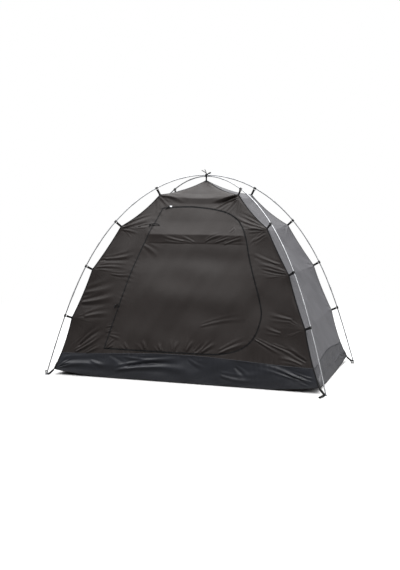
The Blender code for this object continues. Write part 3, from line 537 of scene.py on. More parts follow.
# %% Mesh helpers
def add_mesh(name, points, faces, corner_uvs, finish, sharp=50):
    """An object from points and faces, shaded smooth except across sharp edges."""
    mesh = bpy.data.meshes.new(name)
    mesh.from_pydata(np.asarray(points).tolist(), [], [list(map(int, face)) for face in faces])
    layer = mesh.uv_layers.new(name="cloth_uv")
    layer.data.foreach_set("uv", np.asarray(corner_uvs, dtype=np.float32).ravel())
    mesh.materials.append(finish)
    mesh.shade_smooth()
    mesh.set_sharp_from_angle(angle=math.radians(sharp))
    obj = bpy.data.objects.new(name, mesh)
    bpy.context.scene.collection.objects.link(obj)
    return obj


def point_normals(points, triangles):
    """Unit normals at the points of a sheet of triangles."""
    a, b, c = (points[triangles[:, i]] for i in range(3))
    face_normal = np.cross(b - a, c - a)
    total = np.zeros_like(points)
    for i in range(3):
        np.add.at(total, triangles[:, i], face_normal)
    return unit(total)


def cloth(name, outer, triangles, uvs, finish, thick=CLOTH_THICK):
    """A closed cloth: its outer sheet, an inner sheet behind it and a hem round every edge."""
    count = len(outer)
    inner = outer - point_normals(outer, triangles) * thick
    starts = triangles.ravel()
    ends = np.roll(triangles, -1, axis=1).ravel()
    forward = starts * count + ends
    lone = ~np.isin(forward, ends * count + starts)
    a, b = starts[lone], ends[lone]
    hems = np.stack([b, a, a + count, b + count], 1)
    faces = triangles.tolist() + (triangles[:, ::-1] + count).tolist() + hems.tolist()
    both = np.vstack([uvs, uvs])
    corners = np.concatenate([triangles.ravel(), (triangles[:, ::-1] + count).ravel(), hems.ravel()])
    return add_mesh(name, np.vstack([outer, inner]), faces, both[corners], finish)


def grid_triangles(rows, columns):
    """Triangles of a grid of points numbered row by row."""
    first = (np.arange(rows - 1)[:, None] * columns + np.arange(columns - 1)).ravel()
    return np.concatenate([
        np.stack([first, first + 1, first + columns + 1], 1),
        np.stack([first, first + columns + 1, first + columns], 1),
    ])


def sweep(centres, sides, outs, profile, closed=False):
    """Points, faces and corner UVs of a closed profile of (side, out) steps carried along a line."""
    centres, sides, outs, profile = map(np.asarray, (centres, sides, outs, profile))
    stations = len(centres)
    if profile.ndim == 2:
        profile = np.repeat(profile[None], stations, 0)
    points = centres[:, None] + profile[..., :1] * sides[:, None] + profile[..., 1:] * outs[:, None]
    size = profile.shape[1]
    around = np.append(0, np.cumsum(np.linalg.norm(profile[0] - np.roll(profile[0], -1, 0), axis=1)))
    along = np.append(0, np.cumsum(np.linalg.norm(np.diff(centres, axis=0), axis=1)))
    faces, uvs = [], []
    for i in range(stations if closed else stations - 1):
        k = (i + 1) % stations
        v = (along[i], along[i] + (along[1] if k == 0 else along[k] - along[i]))
        for j in range(size):
            m = (j + 1) % size
            faces.append((i * size + j, i * size + m, k * size + m, k * size + j))
            uvs += [(around[j], v[0]), (around[j + 1], v[0]), (around[j + 1], v[1]), (around[j], v[1])]
    if not closed:
        for i, order in ((0, -1), (stations - 1, 1)):
            faces.append([i * size + j for j in range(size)][::order])
            uvs += [tuple(profile[i][j]) for j in range(size)][::order]
    points = points.reshape(-1, 3)
    a, b, c = points[list(faces[0][:3])]
    middle = centres[:2].mean(0)
    if np.dot(np.cross(b - a, c - a), (a + c) / 2 - middle) < 0:
        turned, at = [], 0
        for face in faces:
            turned += uvs[at:at + len(face)][::-1]
            at += len(face)
        faces, uvs = [tuple(face)[::-1] for face in faces], turned
    return points, faces, uvs


def join_parts(name, parts, finish, sharp=50):
    """One object from several swept bodies."""
    points, faces, uvs, offset = [], [], [], 0
    for part_points, part_faces, part_uvs in parts:
        points.append(part_points)
        faces += [[index + offset for index in face] for face in part_faces]
        uvs += list(part_uvs)
        offset += len(part_points)
    return add_mesh(name, np.vstack(points), faces, uvs, finish, sharp)


def line_frames(points, out_hint, closed=False):
    """Sides and outs square to a line, with out as near to the hint as possible."""
    points = np.asarray(points, dtype=float)
    ahead = np.roll(points, -1, 0) - np.roll(points, 1, 0) if closed else np.gradient(points, axis=0)
    ahead = unit(ahead)
    out_hint = np.broadcast_to(np.asarray(out_hint, dtype=float), points.shape)
    outs = unit(out_hint - ahead * (out_hint * ahead).sum(1)[:, None])
    return np.cross(ahead, outs), outs


def round_profile(radius, count=12):
    turns = np.arange(count) * 2 * np.pi / count
    return np.stack([np.cos(turns), np.sin(turns)], 1) * radius


def strap_profile(width, thick, count=5):
    """A flat strap's cross-section with rounded edges."""
    half, edge = width / 2 - thick / 2, thick / 2
    turns = np.linspace(-np.pi / 2, np.pi / 2, count)
    right = np.stack([half + edge * np.cos(turns), edge * np.sin(turns)], 1)
    return np.vstack([right, -right])


def smooth_line(keys, steps):
    """Points of the Catmull-Rom curve through keys."""
    keys = np.asarray(keys, dtype=float)
    padded = np.vstack([2 * keys[0] - keys[1], keys, 2 * keys[-1] - keys[-2]])
    s = np.linspace(0, 1, steps, endpoint=False)[:, None]
    spans = []
    for a, b, c, d in zip(padded, padded[1:], padded[2:], padded[3:]):
        spans.append((2 * b + (c - a) * s + (2 * a - 5 * b + 4 * c - d) * s**2 + (3 * b - a - 3 * c + d) * s**3) / 2)
    return np.vstack(spans + [keys[-1:]])


def even_line(points, spacing, closed=False):
    """The same line with its points about one spacing apart."""
    points = np.asarray(points, dtype=float)
    if closed:
        points = np.vstack([points, points[:1]])
    at = np.append(0, np.cumsum(np.linalg.norm(np.diff(points, axis=0), axis=1)))
    count = max(2, int(round(at[-1] / spacing)) + 1)
    wanted = np.linspace(0, at[-1], count)
    line = np.stack([np.interp(wanted, at, column) for column in points.T], 1)
    return line[:-1] if closed else line


# %% [markdown]
# ## Folds
#
# Cloth that is pulled at one point gathers in a fan of folds from that point. Each fold here
# is a ridge with a shallow trough on both sides, from a start to an end in (along, height).
# The folds of the front follow the photograph one by one; the other walls get seeded fans of
# the same kind from their clips. All of it fades out at the bound seams, where the tape
# holds the cloth flat.

# %% Lines of the door's seam and zip
OUTLINE_STEPS = 20


def offset_line(points, distance):
    """Points of an open line moved to the left of its direction of travel."""
    steps = unit(np.diff(points, axis=0))
    normals = np.stack([-steps[:, 1], steps[:, 0]], 1)
    middle = (np.vstack([normals[:1], normals]) + np.vstack([normals, normals[-1:]])) / 2
    return points + middle * distance / (middle * middle).sum(1)[:, None]


seam_line = smooth_line(DOOR_SEAM, OUTLINE_STEPS)
zip_line = smooth_line(DOOR_ZIP, OUTLINE_STEPS)


# %% Fold shapes
def smooth_step(value):
    value = np.clip(value, 0, 1)
    return value * value * (3 - 2 * value)


def ridge_lift(places, start, end, lift, width):
    """How far one fold raises the cloth: a crisp crest that widens and dies away."""
    start, run = np.asarray(start), np.subtract(end, start)
    length = np.linalg.norm(run)
    share = (places - start) @ run / length**2
    bend = ((start[0] * 7.3 + end[1] * 13.7) % 1 - 0.5) * 0.12 * length
    off = (places - start) @ np.array([-run[1], run[0]]) / length - bend * np.sin(np.pi * np.clip(share, 0, 1))
    off = off / (width * (0.50 + 0.70 * np.clip(share, 0, 1)))
    crest = np.exp(-np.abs(off) ** 1.5)
    beside = 0.45 * np.exp(-((off - 2.4) / 0.9) ** 2) - 0.35 * np.exp(-(off + 1.6) ** 2) - 0.30 * np.exp(-(off - 1.3) ** 2)
    return lift * smooth_step(share / 0.10) * smooth_step((1 - share) / 0.65) * (crest + beside)


def pucker_lift(places, line, lift, pitch, reach):
    """Small gathers that a seam pulls into the cloth on both sides of it."""
    line = even_line(line, 0.006)
    nearest, far = np.empty(len(places), dtype=int), np.empty(len(places))
    for first in range(0, len(places), 4000):
        part = places[first:first + 4000]
        gaps = np.linalg.norm(part[:, None] - line[None], axis=2)
        nearest[first:first + 4000], far[first:first + 4000] = gaps.argmin(1), gaps.min(1)
    along = nearest * 0.006
    phase = 2 * np.pi * along / pitch + 1.6 * np.sin(along * 19) + 1.2 * np.sin(along * 43 + 1)
    strength = 0.65 + 0.35 * np.sin(along * 11 + 2)
    return lift * strength * np.sin(phase) * np.exp(-((far / reach) ** 1.2))


def slack_lift(places, seed, size):
    """Gentle unevenness of cloth that isn't pulled tight: a few seeded waves."""
    chance = np.random.default_rng(seed)
    total = np.zeros(len(places))
    for _ in range(7):
        length, heading, phase = chance.uniform(0.10, 0.42), chance.uniform(0, np.pi), chance.uniform(0, 2 * np.pi)
        direction = np.array([np.cos(heading), np.sin(heading)])
        total += np.sin(places @ direction * 2 * np.pi / length + phase) * length
    return total * size


# %% Folds of the front wall, as in the photograph
FRONT_FOLDS = [
    # left flap, from the corner seam towards the door's seam
    (-0.711, 0.915, -0.440, 0.968, 0.007, 0.016), (-0.780, 0.849, -0.490, 0.843, 0.005, 0.012),
    (-0.640, 0.800, -0.470, 0.795, 0.004, 0.010), (-0.880, 0.570, -0.560, 0.638, 0.010, 0.024),
    (-0.840, 0.462, -0.590, 0.500, 0.006, 0.020), (-0.900, 0.180, -0.640, 0.350, 0.009, 0.013),
    (-0.870, 0.225, -0.640, 0.385, -0.009, 0.016), (-0.800, 0.180, -0.660, 0.250, 0.006, 0.012),
    (-0.602, 1.158, -0.360, 1.235, 0.007, 0.014), (-0.600, 1.150, -0.430, 1.110, 0.004, 0.012),
    (-0.640, 0.390, -0.560, 0.405, 0.004, 0.008), (-0.640, 0.350, -0.575, 0.372, 0.004, 0.007),
    (-0.590, 1.168, -0.323, 1.262, -0.006, 0.010), (-0.470, 1.168, -0.340, 1.184, -0.005, 0.009),
    (-0.900, 0.640, -0.560, 0.720, 0.006, 0.026), (-0.760, 0.900, -0.470, 0.905, -0.005, 0.016),
    # right flap
    (0.725, 0.908, 0.470, 0.995, 0.006, 0.013), (0.700, 0.895, 0.500, 0.960, -0.004, 0.010),
    (0.790, 0.850, 0.510, 0.905, 0.005, 0.011), (0.788, 0.836, 0.530, 0.880, -0.005, 0.009),
    (0.840, 0.512, 0.640, 0.548, 0.005, 0.014), (0.760, 0.412, 0.620, 0.452, 0.005, 0.013),
    (0.560, 0.360, 0.780, 0.250, 0.007, 0.010), (0.690, 0.325, 0.920, 0.245, 0.006, 0.010),
    (0.960, 0.215, 0.740, 0.335, -0.007, 0.014), (0.930, 0.190, 0.720, 0.235, 0.005, 0.012),
    (0.603, 1.154, 0.385, 1.175, 0.005, 0.011), (0.603, 1.160, 0.400, 1.245, 0.006, 0.012),
    (0.590, 1.130, 0.450, 1.060, 0.004, 0.012), (0.600, 1.170, 0.300, 1.300, -0.004, 0.010),
    (0.585, 1.168, 0.266, 1.282, 0.007, 0.012), (0.578, 1.170, 0.364, 1.238, -0.006, 0.010),
    (0.603, 1.152, 0.420, 1.140, -0.006, 0.010),
    # fan from the upper right clip to the middle of the crease
    (0.310, 1.413, 0.085, 1.345, -0.010, 0.010), (0.280, 1.400, 0.130, 1.314, -0.008, 0.010),
    (0.335, 1.420, 0.080, 1.318, -0.011, 0.014), (0.330, 1.400, 0.100, 1.290, 0.009, 0.012),
    (0.330, 1.405, 0.200, 1.270, 0.006, 0.012), (0.345, 1.400, 0.330, 1.240, 0.004, 0.012),
    (-0.335, 1.415, -0.200, 1.300, 0.005, 0.013), (-0.335, 1.420, -0.090, 1.345, 0.006, 0.014),
    (-0.345, 1.400, -0.330, 1.260, 0.004, 0.012),
    # door: dragged diagonals in the band, and gathers over the bottom of the zip
    (0.100, 1.058, 0.260, 1.112, 0.006, 0.009), (0.180, 1.052, 0.345, 1.108, 0.006, 0.009),
    (0.255, 1.042, 0.430, 1.092, 0.006, 0.009), (-0.060, 1.060, -0.280, 1.108, 0.005, 0.010),
    (0.020, 1.052, -0.120, 1.100, 0.004, 0.009), (0.330, 1.170, 0.290, 1.120, 0.005, 0.010),
    (0.120, 0.425, 0.510, 0.505, 0.003, 0.014),
    (0.036, 0.236, 0.090, 0.330, 0.008, 0.014), (0.100, 0.236, 0.180, 0.320, -0.006, 0.014),
    (0.154, 0.238, 0.270, 0.322, 0.008, 0.014), (0.290, 0.240, 0.530, 0.335, 0.008, 0.016),
    (-0.060, 0.234, -0.040, 0.320, 0.007, 0.016), (-0.170, 0.234, -0.190, 0.300, 0.006, 0.018),
    (-0.300, 0.236, -0.330, 0.310, 0.007, 0.020), (-0.450, 0.236, -0.480, 0.290, 0.005, 0.016),
    (-0.632, 0.232, -0.540, 0.320, 0.005, 0.008), (-0.620, 0.230, -0.560, 0.265, 0.005, 0.007),
    (-0.610, 0.330, -0.500, 0.300, 0.004, 0.012), (-0.400, 1.030, -0.250, 0.930, 0.004, 0.020),
]
TUB_FRONT_FOLDS = [
    (-1.055, 0.050, -0.880, 0.160, 0.006, 0.008), (-1.045, 0.055, -0.870, 0.130, -0.005, 0.007),
    (-1.050, 0.048, -0.840, 0.095, 0.006, 0.009), (-1.030, 0.080, -0.930, 0.170, 0.004, 0.006),
    (-0.600, 0.180, -0.430, 0.095, -0.006, 0.018), (-0.470, 0.098, 0.060, 0.155, -0.013, 0.022),
    (-0.500, 0.175, 0.020, 0.200, 0.008, 0.016), (-0.560, 0.060, 0.160, 0.078, 0.010, 0.024),
    (0.050, 0.190, 0.220, 0.120, 0.006, 0.016), (0.420, 0.150, 0.520, 0.055, -0.008, 0.018),
    (1.000, 0.058, 0.480, 0.205, 0.009, 0.016), (0.990, 0.066, 0.640, 0.168, -0.007, 0.010),
    (1.015, 0.075, 0.700, 0.152, 0.006, 0.008), (1.020, 0.100, 0.780, 0.165, 0.005, 0.007),
    (0.300, 0.080, 0.660, 0.060, 0.007, 0.020), (-0.760, 0.130, -0.600, 0.075, 0.006, 0.018),
    (-1.020, 0.085, -0.400, 0.085, 0.012, 0.036),
]
BAND_TOP, BAND_BOTTOM, BAND_LIFT = 1.108, 1.046, 0.012
CREASE_LIFT, CREASE_REACH = 0.013, 0.040
SWELLS = ((0.64, 0.10, 0.008), (0.93, 0.070, -0.007))
HEM_STEP = 0.0025
# Soft ridges that run across a side wall between opposite clips: (level, lift)
SIDE_RIDGES, RIDGE_REACH = ((3.0, 0.012), (2.0, 0.010), (1.0, 0.006)), 0.11


def fan_folds(wall, seed):
    """Seeded folds from the clips and corners of a wall that the photograph doesn't show."""
    chance = np.random.default_rng(seed)
    folds = []
    for side in (-1.0, 1.0):
        for level in range(1, PEAK_LEVEL):
            along, _, height = wall_local(wall, np.array([side]), np.array([float(level)]))[0]
            for turn in (-32, 4, 30):
                heading = math.radians(turn + chance.uniform(-9, 9))
                length = chance.uniform(0.12, 0.30) * (0.55 + 0.45 * abs(along))
                end = (along - side * length * math.cos(heading), height + length * math.sin(heading) - 0.02)
                folds.append((along, height, *end, chance.uniform(0.003, 0.008), chance.uniform(0.010, 0.018)))
    return folds


def fine_folds(wall, seed, count=9):
    """Short thin wrinkles round the clips, between the larger folds."""
    chance = np.random.default_rng(seed)
    folds = []
    for side in (-1.0, 1.0):
        for level in range(0, PEAK_LEVEL):
            along, _, height = wall_local(wall, np.array([side]), np.array([level + 0.35 * (level == 0)]))[0]
            for _ in range(count):
                turn = math.radians(chance.uniform(-48, 42))
                near, far = chance.uniform(0.02, 0.10), chance.uniform(0.12, 0.26)
                start, end = ((along - side * r * math.cos(turn), height + r * math.sin(turn)) for r in (near, far))
                folds.append((*start, *end, chance.uniform(-0.0018, 0.0026), chance.uniform(0.005, 0.009)))
    return folds


WALL_FOLDS = {"front": FRONT_FOLDS + fine_folds("front", 8)}
for number, wall in enumerate(WALLS[1:]):
    WALL_FOLDS[wall] = fan_folds(wall, 20 + number) + fine_folds(wall, 30 + number)


def cloth_lift(wall, places, across, level):
    """How far the cloth stands off the taut surface, at (along, height) places."""
    total = slack_lift(places, WALLS.index(wall), 0.0030 if wall in ("front", "back") else 0.0045)
    for x0, z0, x1, z1, lift, width in WALL_FOLDS[wall]:
        total += ridge_lift(places, (x0, z0), (x1, z1), lift, width)
    if wall in ("left", "right"):
        for clip_level, lift in SIDE_RIDGES:
            off = np.abs(places[:, 1] - wall_local(wall, across, np.full(len(places), clip_level))[:, 2])
            total += lift * np.clip(1 - off / RIDGE_REACH, 0, 1) ** 1.3 * (1 - across**4)
    crease = wall_local(wall, across, crease_level(across))[:, 2]
    rise = np.clip(1 - np.abs(places[:, 1] - crease) / CREASE_REACH, 0, 1)
    total += CREASE_LIFT * rise**1.15 * (1 - across**4)
    if wall == "front":
        inside = np.clip((places[:, 0] + 0.40) / 0.05, 0, 1) * np.clip((0.44 - places[:, 0]) / 0.05, 0, 1)
        step = np.clip((places[:, 1] - BAND_BOTTOM) / (BAND_TOP - BAND_BOTTOM), 0, 1)
        above = np.clip(1 - (places[:, 1] - BAND_TOP) / 0.11, 0, 1)
        total += inside * BAND_LIFT * step**1.5 * above**1.5
        total += inside * HEM_STEP * np.clip((places[:, 1] - BAND_BOTTOM) / 0.005, 0, 1) * above**1.5
        for height, reach, lift in SWELLS:
            swell = np.exp(-(((places[:, 1] - height) / reach) ** 2))
            total += lift * swell * smooth_step((0.62 - np.abs(places[:, 0])) / 0.25)
        total += pucker_lift(places, seam_line, 0.0009, 0.044, 0.030)
        total += pucker_lift(places, zip_line, 0.0007, 0.038, 0.018)
    share = np.linspace(-1, 1, 200)
    tub_line = wall_local(wall, share, tub_level(share))[:, [0, 2]]
    total += pucker_lift(places, tub_line, 0.0012, 0.046, 0.028)
    half = wall_local(wall, np.ones(len(places)), level)[:, 0]
    near_seam = smooth_step(((1 - np.abs(across)) * half - 0.006) / 0.020)
    near_peak = np.clip((ROOF_TOP - level) / 0.25, 0, 1)
    return total * near_seam * near_peak


def wall_places(wall, places, clearance=0.0):
    """Points of a wall's cloth at (along, height) places, raised by a clearance, and normals."""
    places = np.asarray(places, dtype=float)
    across, level = wall_shares(wall, places)
    normal = wall_normal(wall, across, level)
    lift = cloth_lift(wall, places, across, level) + clearance
    local = wall_local(wall, across, level) + normal * lift[:, None]
    return turn_to_wall(wall, local), turn_to_wall(wall, normal)


print("folds on the front:", len(WALL_FOLDS["front"]), "and on the tub's front:", len(TUB_FRONT_FOLDS))

# %% [markdown]
# ## Wall panels
#
# A panel's outline runs along the tub's seam, up one corner seam to the peak and down the
# other. The outline is filled with triangles about 8 mm wide (a constrained Delaunay
# triangulation keeps the outline as edges), and every point is laid on the hung surface. The
# front has the door's opening cut out. Wall and roof triangle are one cloth here, because on
# the real tent only a crease between the two upper clips parts them.

# %% Filling an outline
PANEL_SPACING = {"front": 0.0055, "back": 0.008, "left": 0.0075, "right": 0.0065}


def inside_outline(places, outline):
    """Which places lie inside a closed outline."""
    x, y = places[:, 0], places[:, 1]
    result = np.zeros(len(places), dtype=bool)
    for (x0, y0), (x1, y1) in zip(outline, np.roll(outline, -1, 0)):
        if y0 == y1:
            continue
        crosses = (y0 > y) != (y1 > y)
        result ^= crosses & (x < (x1 - x0) * (y - y0) / (y1 - y0) + x0)
    return result


def fill_outline(outline, holes, spacing):
    """Places and triangles that fill a closed outline round its holes."""
    loops = [even_line(loop, spacing, closed=True) for loop in (outline, *holes)]
    low, high = loops[0].min(0), loops[0].max(0)
    rows = np.arange(low[1], high[1], spacing * math.sqrt(3) / 2)
    columns = np.arange(low[0] - spacing, high[0] + spacing, spacing)
    grid = np.array([(x + spacing / 2 * (i % 2), y) for i, y in enumerate(rows) for x in columns])
    keep = inside_outline(grid, loops[0])
    for loop in loops[1:]:
        keep &= ~inside_outline(grid, loop)
    grid = grid[keep]
    tree = kdtree.KDTree(sum(len(loop) for loop in loops))
    for index, point in enumerate(np.vstack(loops)):
        tree.insert((*point, 0), index)
    tree.balance()
    grid = grid[[tree.find((*point, 0))[2] > spacing * 0.55 for point in grid]]
    edges, offset = [], 0
    for loop in loops:
        edges += [(offset + i, offset + (i + 1) % len(loop)) for i in range(len(loop))]
        offset += len(loop)
    points = np.vstack(loops + [grid])
    found = geometry.delaunay_2d_cdt([Vector(point) for point in points], edges, [], 0, 1e-7)
    places, triangles = np.array(found[0]), np.array(found[2])
    centres = places[triangles].mean(1)
    keep = inside_outline(centres, loops[0])
    for loop in loops[1:]:
        keep &= ~inside_outline(centres, loop)
    triangles = triangles[keep]
    used, triangles = np.unique(triangles, return_inverse=True)
    return places[used], triangles.reshape(-1, 3)


def wall_outline(wall, steps=400):
    share = np.linspace(-1, 1, steps)
    up = np.linspace(TUB_TOP_CORNER, ROOF_TOP, steps)
    foot = wall_local(wall, share, tub_level(share))
    right = wall_local(wall, np.ones(steps), up)
    left = wall_local(wall, -np.ones(steps), up[::-1])
    return np.vstack([foot, right[1:], left[:-1]])[:, [0, 2]]


def make_panel(name, wall, outline, finish, holes=()):
    """A cloth on a wall; returns the object and prints its area in square metres."""
    places, triangles = fill_outline(outline, holes, PANEL_SPACING[wall])
    points, normals = wall_places(wall, places)
    a, b, c = (points[triangles[:, i]] for i in range(3))
    facing = (np.cross(b - a, c - a) * normals[triangles[:, 0]]).sum()
    if facing < 0:
        triangles = triangles[:, ::-1]
    area = float(np.linalg.norm(np.cross(b - a, c - a), axis=1).sum() / 2)
    _, level = wall_shares(wall, places)
    uvs = np.stack([places[:, 0], arc_share(level) * SPAN_LENGTHS.sum()], 1)
    print(name, "triangles:", len(triangles), "area:", round(area, 3), "m2; spans:",
          np.ptp(points, axis=0).round(3).tolist())
    return cloth(name, points, triangles, uvs, finish)


# %% The door's outline and its cloth
DOOR_GAP = 0.0055
SEAM_GAP = TOUCH_GAP / 2


def door_outline(zip_gap, seam_gap):
    """The closed outline, grown by a gap on its zip side and on its seam side."""
    seam = seam_line.copy()
    seam[0] += unit(seam[0] - seam[1]) * zip_gap
    seam[-1] += unit(seam[-1] - seam[-2]) * zip_gap
    return np.vstack([offset_line(seam, seam_gap), offset_line(zip_line, zip_gap)[1:-1]])


walls = {}
opening = door_outline(DOOR_GAP, SEAM_GAP)
walls["front"] = make_panel("front_cloth", "front", wall_outline("front"), wall_cloth, [opening])
walls["back"] = make_panel("back_cloth", "back", wall_outline("back"), wall_cloth)
# The side walls take the grey that is partly painted light.
walls["left"] = make_panel("left_cloth", "left", wall_outline("left"), side_grey_and_painted_light)
walls["right"] = make_panel("right_cloth", "right", wall_outline("right"), side_grey_and_painted_light)
door = make_panel("door_cloth", "front", door_outline(-DOOR_GAP, -SEAM_GAP), wall_cloth)
for wall, piece in walls.items():
    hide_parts(wall + "_wall", "roof_" + wall)
    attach(piece, "tent")
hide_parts("door")

# %% [markdown]
# ## The door's hinge
#
# The door is sewn in along its left side and zipped round the rest. Opened, it folds back
# along that seam. This cell finds the hinge's point and axis and the direction from the hinge
# into the door, and bakes the door's placement into its points.

# %% Door hinge
HINGE_POINT = np.array(frame["joints"][0]["anchor"] if "anchor" in frame["joints"][0] else (-0.659631, -0.662806, 0.248815))
HINGE_AXIS = unit(np.array([-0.297367, -0.308064, -0.903698]))
door_middle, _ = wall_places("front", [(0.0, 0.75)])
into_door = door_middle[0] - HINGE_POINT
into_door = unit(into_door - HINGE_AXIS * (into_door @ HINGE_AXIS))
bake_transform(door)

# %% [markdown]
# ## Tub walls and groundsheet
#
# Below the walls runs a waterproof tub, sewn to the groundsheet. Coated cloth is stiffer
# than the walls and hangs slack between the corners, so it lies in longer, softer waves.
# Each tub wall is a grid between the groundsheet's rim and the seam with its wall.

# %% Groundsheet and tub surfaces
TUB_COLUMNS, TUB_ROWS = 260, 30


def rise_near_corner(across, start):
    return np.clip((np.abs(across) - start) / (1 - start), 0, None) ** LIFT_POWER


def floor_points(across_x, across_y):
    corner_x = CORNER_RUN * FOOT_HALF_X / HALF_DIAGONAL
    corner_y = CORNER_RUN * FOOT_HALF_Y / HALF_DIAGONAL
    half_x = FLOOR_HALF_X + (corner_x - FLOOR_HALF_X) * across_y**4
    half_y = FLOOR_HALF_Y + (corner_y - FLOOR_HALF_Y) * across_x**4
    lift = rise_near_corner(across_x, LIFT_START_X) * rise_near_corner(across_y, LIFT_START_Y)
    return np.stack([across_x * half_x, across_y * half_y, CORNER_LIFT * lift], 1)


def tub_foot(wall, across):
    """Local (along, deep, height) of a tub wall's bottom edge."""
    ones = np.ones(len(across))
    if wall in ("front", "back"):
        rim = floor_points(across, -ones)
        along, deep = rim[:, 0], -rim[:, 1]
    else:
        rim = floor_points(-ones, across)
        along, deep = rim[:, 1], -rim[:, 0]
    return np.stack([along - TOUCH_GAP * across, deep, rim[:, 2] + FLOOR_THICK + TOUCH_GAP], 1)


def tub_folds(wall, seed):
    chance = np.random.default_rng(seed)
    half = wall_local(wall, np.ones(1), np.array([0.1]))[0, 0]
    folds = []
    for side in (-1, 1):
        for heading in (14, 24, 36, 50):
            length, turn = chance.uniform(0.16, 0.38), math.radians(heading + chance.uniform(-5, 5))
            end = (side * (half - length * math.cos(turn)), 0.05 + length * math.sin(turn) * 0.6)
            folds.append((side * half, 0.05, *end, chance.uniform(0.007, 0.012), chance.uniform(0.007, 0.013)))
    for _ in range(5):
        start = chance.uniform(-0.6, 0.4) * half
        folds.append((start, chance.uniform(0.06, 0.18), start + chance.uniform(0.2, 0.5), chance.uniform(0.06, 0.18),
                      chance.uniform(-0.010, 0.010), chance.uniform(0.016, 0.028)))
    return folds


def tub_points(wall, across, share):
    """Points of a tub wall: share runs 0 at the groundsheet to 1 at the wall's seam."""
    foot, top = tub_foot(wall, across), wall_local(wall, across, tub_level(across))
    top_normal = wall_normal(wall, across, tub_level(across))
    local = foot + (top - foot) * share[:, None]
    normal = unit(np.cross([1, 0, 0], top - foot))
    normal *= np.where(normal[:, 1:2] < 0, -1, 1)
    places = local[:, [0, 2]]
    lift = slack_lift(places * [1, 1.6], 40 + WALLS.index(wall), 0.0045)
    for x0, z0, x1, z1, height, width in TUB_FOLDS[wall]:
        lift += ridge_lift(places, (x0, z0), (x1, z1), height, width)
    half = np.abs(wall_local(wall, np.ones(len(across)), tub_level(across))[:, 0])
    near_seam = np.clip((1 - np.abs(across)) * half / 0.05, 0, 1)
    lift *= np.sin(np.pi * np.clip(share, 0, 1)) ** 0.6 * near_seam
    top_lift = cloth_lift(wall, top[:, [0, 2]], across, tub_level(across))
    shared = top_normal * (top_lift * share**2)[:, None]
    return turn_to_wall(wall, local + normal * lift[:, None] + shared)


TUB_FOLDS = {"front": TUB_FRONT_FOLDS}
for number, wall in enumerate(WALLS[1:]):
    TUB_FOLDS[wall] = tub_folds(wall, 60 + number)
tubs = {}
for wall in WALLS:
    # The side tubs take the lighter copy of the tub cloth, with painted light.
    finish = tub_cloth if wall in ("front", "back") else tub_side_painted_light
    across = np.tile(np.linspace(-1, 1, TUB_COLUMNS), TUB_ROWS)
    share = np.repeat(np.linspace(0, 1, TUB_ROWS), TUB_COLUMNS)
    points = tub_points(wall, across, share)
    half = wall_halves(wall)[0]
    uvs = np.stack([across * half, share * 0.2], 1)
    tubs[wall] = cloth(f"tub_cloth_{wall}", points, grid_triangles(TUB_ROWS, TUB_COLUMNS), uvs, finish)
    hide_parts("tub_" + wall)
    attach(tubs[wall], "tent")
    rows = points.reshape(TUB_ROWS, TUB_COLUMNS, 3)
    print("tub", wall, "length", round(float(np.linalg.norm(np.diff(rows[0], axis=0), axis=1).sum()), 3),
          "height", round(float(np.linalg.norm(np.diff(rows[:, TUB_COLUMNS // 2], axis=0), axis=1).sum()), 3))

FLOOR_COLUMNS, FLOOR_ROWS = 150, 96
across_x = np.tile(np.linspace(-1, 1, FLOOR_COLUMNS), FLOOR_ROWS)
across_y = np.repeat(np.linspace(-1, 1, FLOOR_ROWS), FLOOR_COLUMNS)
points = floor_points(across_x, across_y)
inner = np.clip(np.minimum(1 - np.abs(across_x), 1 - np.abs(across_y)) / 0.12, 0, 1)
wrinkle = np.abs(slack_lift(points[:, :2], 90, 0.006)) + np.abs(slack_lift(points[:, :2] * 2.6, 91, 0.002))
points[:, 2] += FLOOR_THICK + inner * wrinkle
groundsheet = cloth("groundsheet_cloth", points, grid_triangles(FLOOR_ROWS, FLOOR_COLUMNS), points[:, :2],
                    groundsheet_cloth, FLOOR_THICK * 0.6)
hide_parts("floor")
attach(groundsheet, "tent")

# %% [markdown]
# ## Bound seams
#
# Where two walls meet, the raw edges are bound in black tape, which also carries the clips'
# straps. A narrow felled seam joins each wall to its tub, and a black piping closes the
# edge of the groundsheet. Each of them is a profile carried along the seam's own line.

# %% Corner tapes, tub seams and piping
TAPE_HALF = 0.0075
TAPE_THICK = 0.0009


def corner_tape(leg):
    """Tape over a corner seam, lying a few millimetres onto both of its walls, as rings."""
    corner_walls = leg.split("_")
    out_axis, _ = leg_axes(leg)
    level = np.linspace(TUB_TOP_CORNER, ROOF_TOP, 240)
    share = np.linspace(0.0, 1.0, 30)[:-1]
    edge = hung_edge(level)
    foot = ANCHORS[0] + [0, FLOOR_THICK + TOUCH_GAP]
    edge = np.vstack([foot + (edge[0] - foot) * share[:, None], edge])
    ridge = out_axis * edge[:, :1] + np.array([0, 0, 1]) * edge[:, 1:]
    flanges = []
    for wall in corner_walls:
        half = wall_local(wall, np.ones(len(level)), level)[:, 0]
        inset = 1 - np.minimum(TAPE_HALF / half, 0.8)
        upper = turn_to_wall(wall, wall_local(wall, wall_sign(wall, leg) * inset, level))
        lower = tub_points(wall, np.full(len(share), wall_sign(wall, leg) * inset[0]), share)
        flanges.append(np.vstack([lower, upper]))
    ahead = unit(np.gradient(ridge, axis=0))
    out = unit(np.cross(ahead, np.cross(out_axis, ahead)))
    lines = [flanges[0] + out * 0.0009, (flanges[0] + ridge) / 2 + out * 0.0012, ridge + out * 0.0016,
             (flanges[1] + ridge) / 2 + out * 0.0012, flanges[1] + out * 0.0009]
    inner = [line - out * (TAPE_THICK + 0.0003) for line in lines[::-1]]
    return np.stack(lines + inner, 1)


def wall_sign(wall, leg):
    """Which end of a wall a leg is at, in the wall's own direction along."""
    sign_x, sign_y = LEGS[leg]
    return {"front": sign_x, "back": -sign_x, "right": sign_y, "left": -sign_y}[wall]


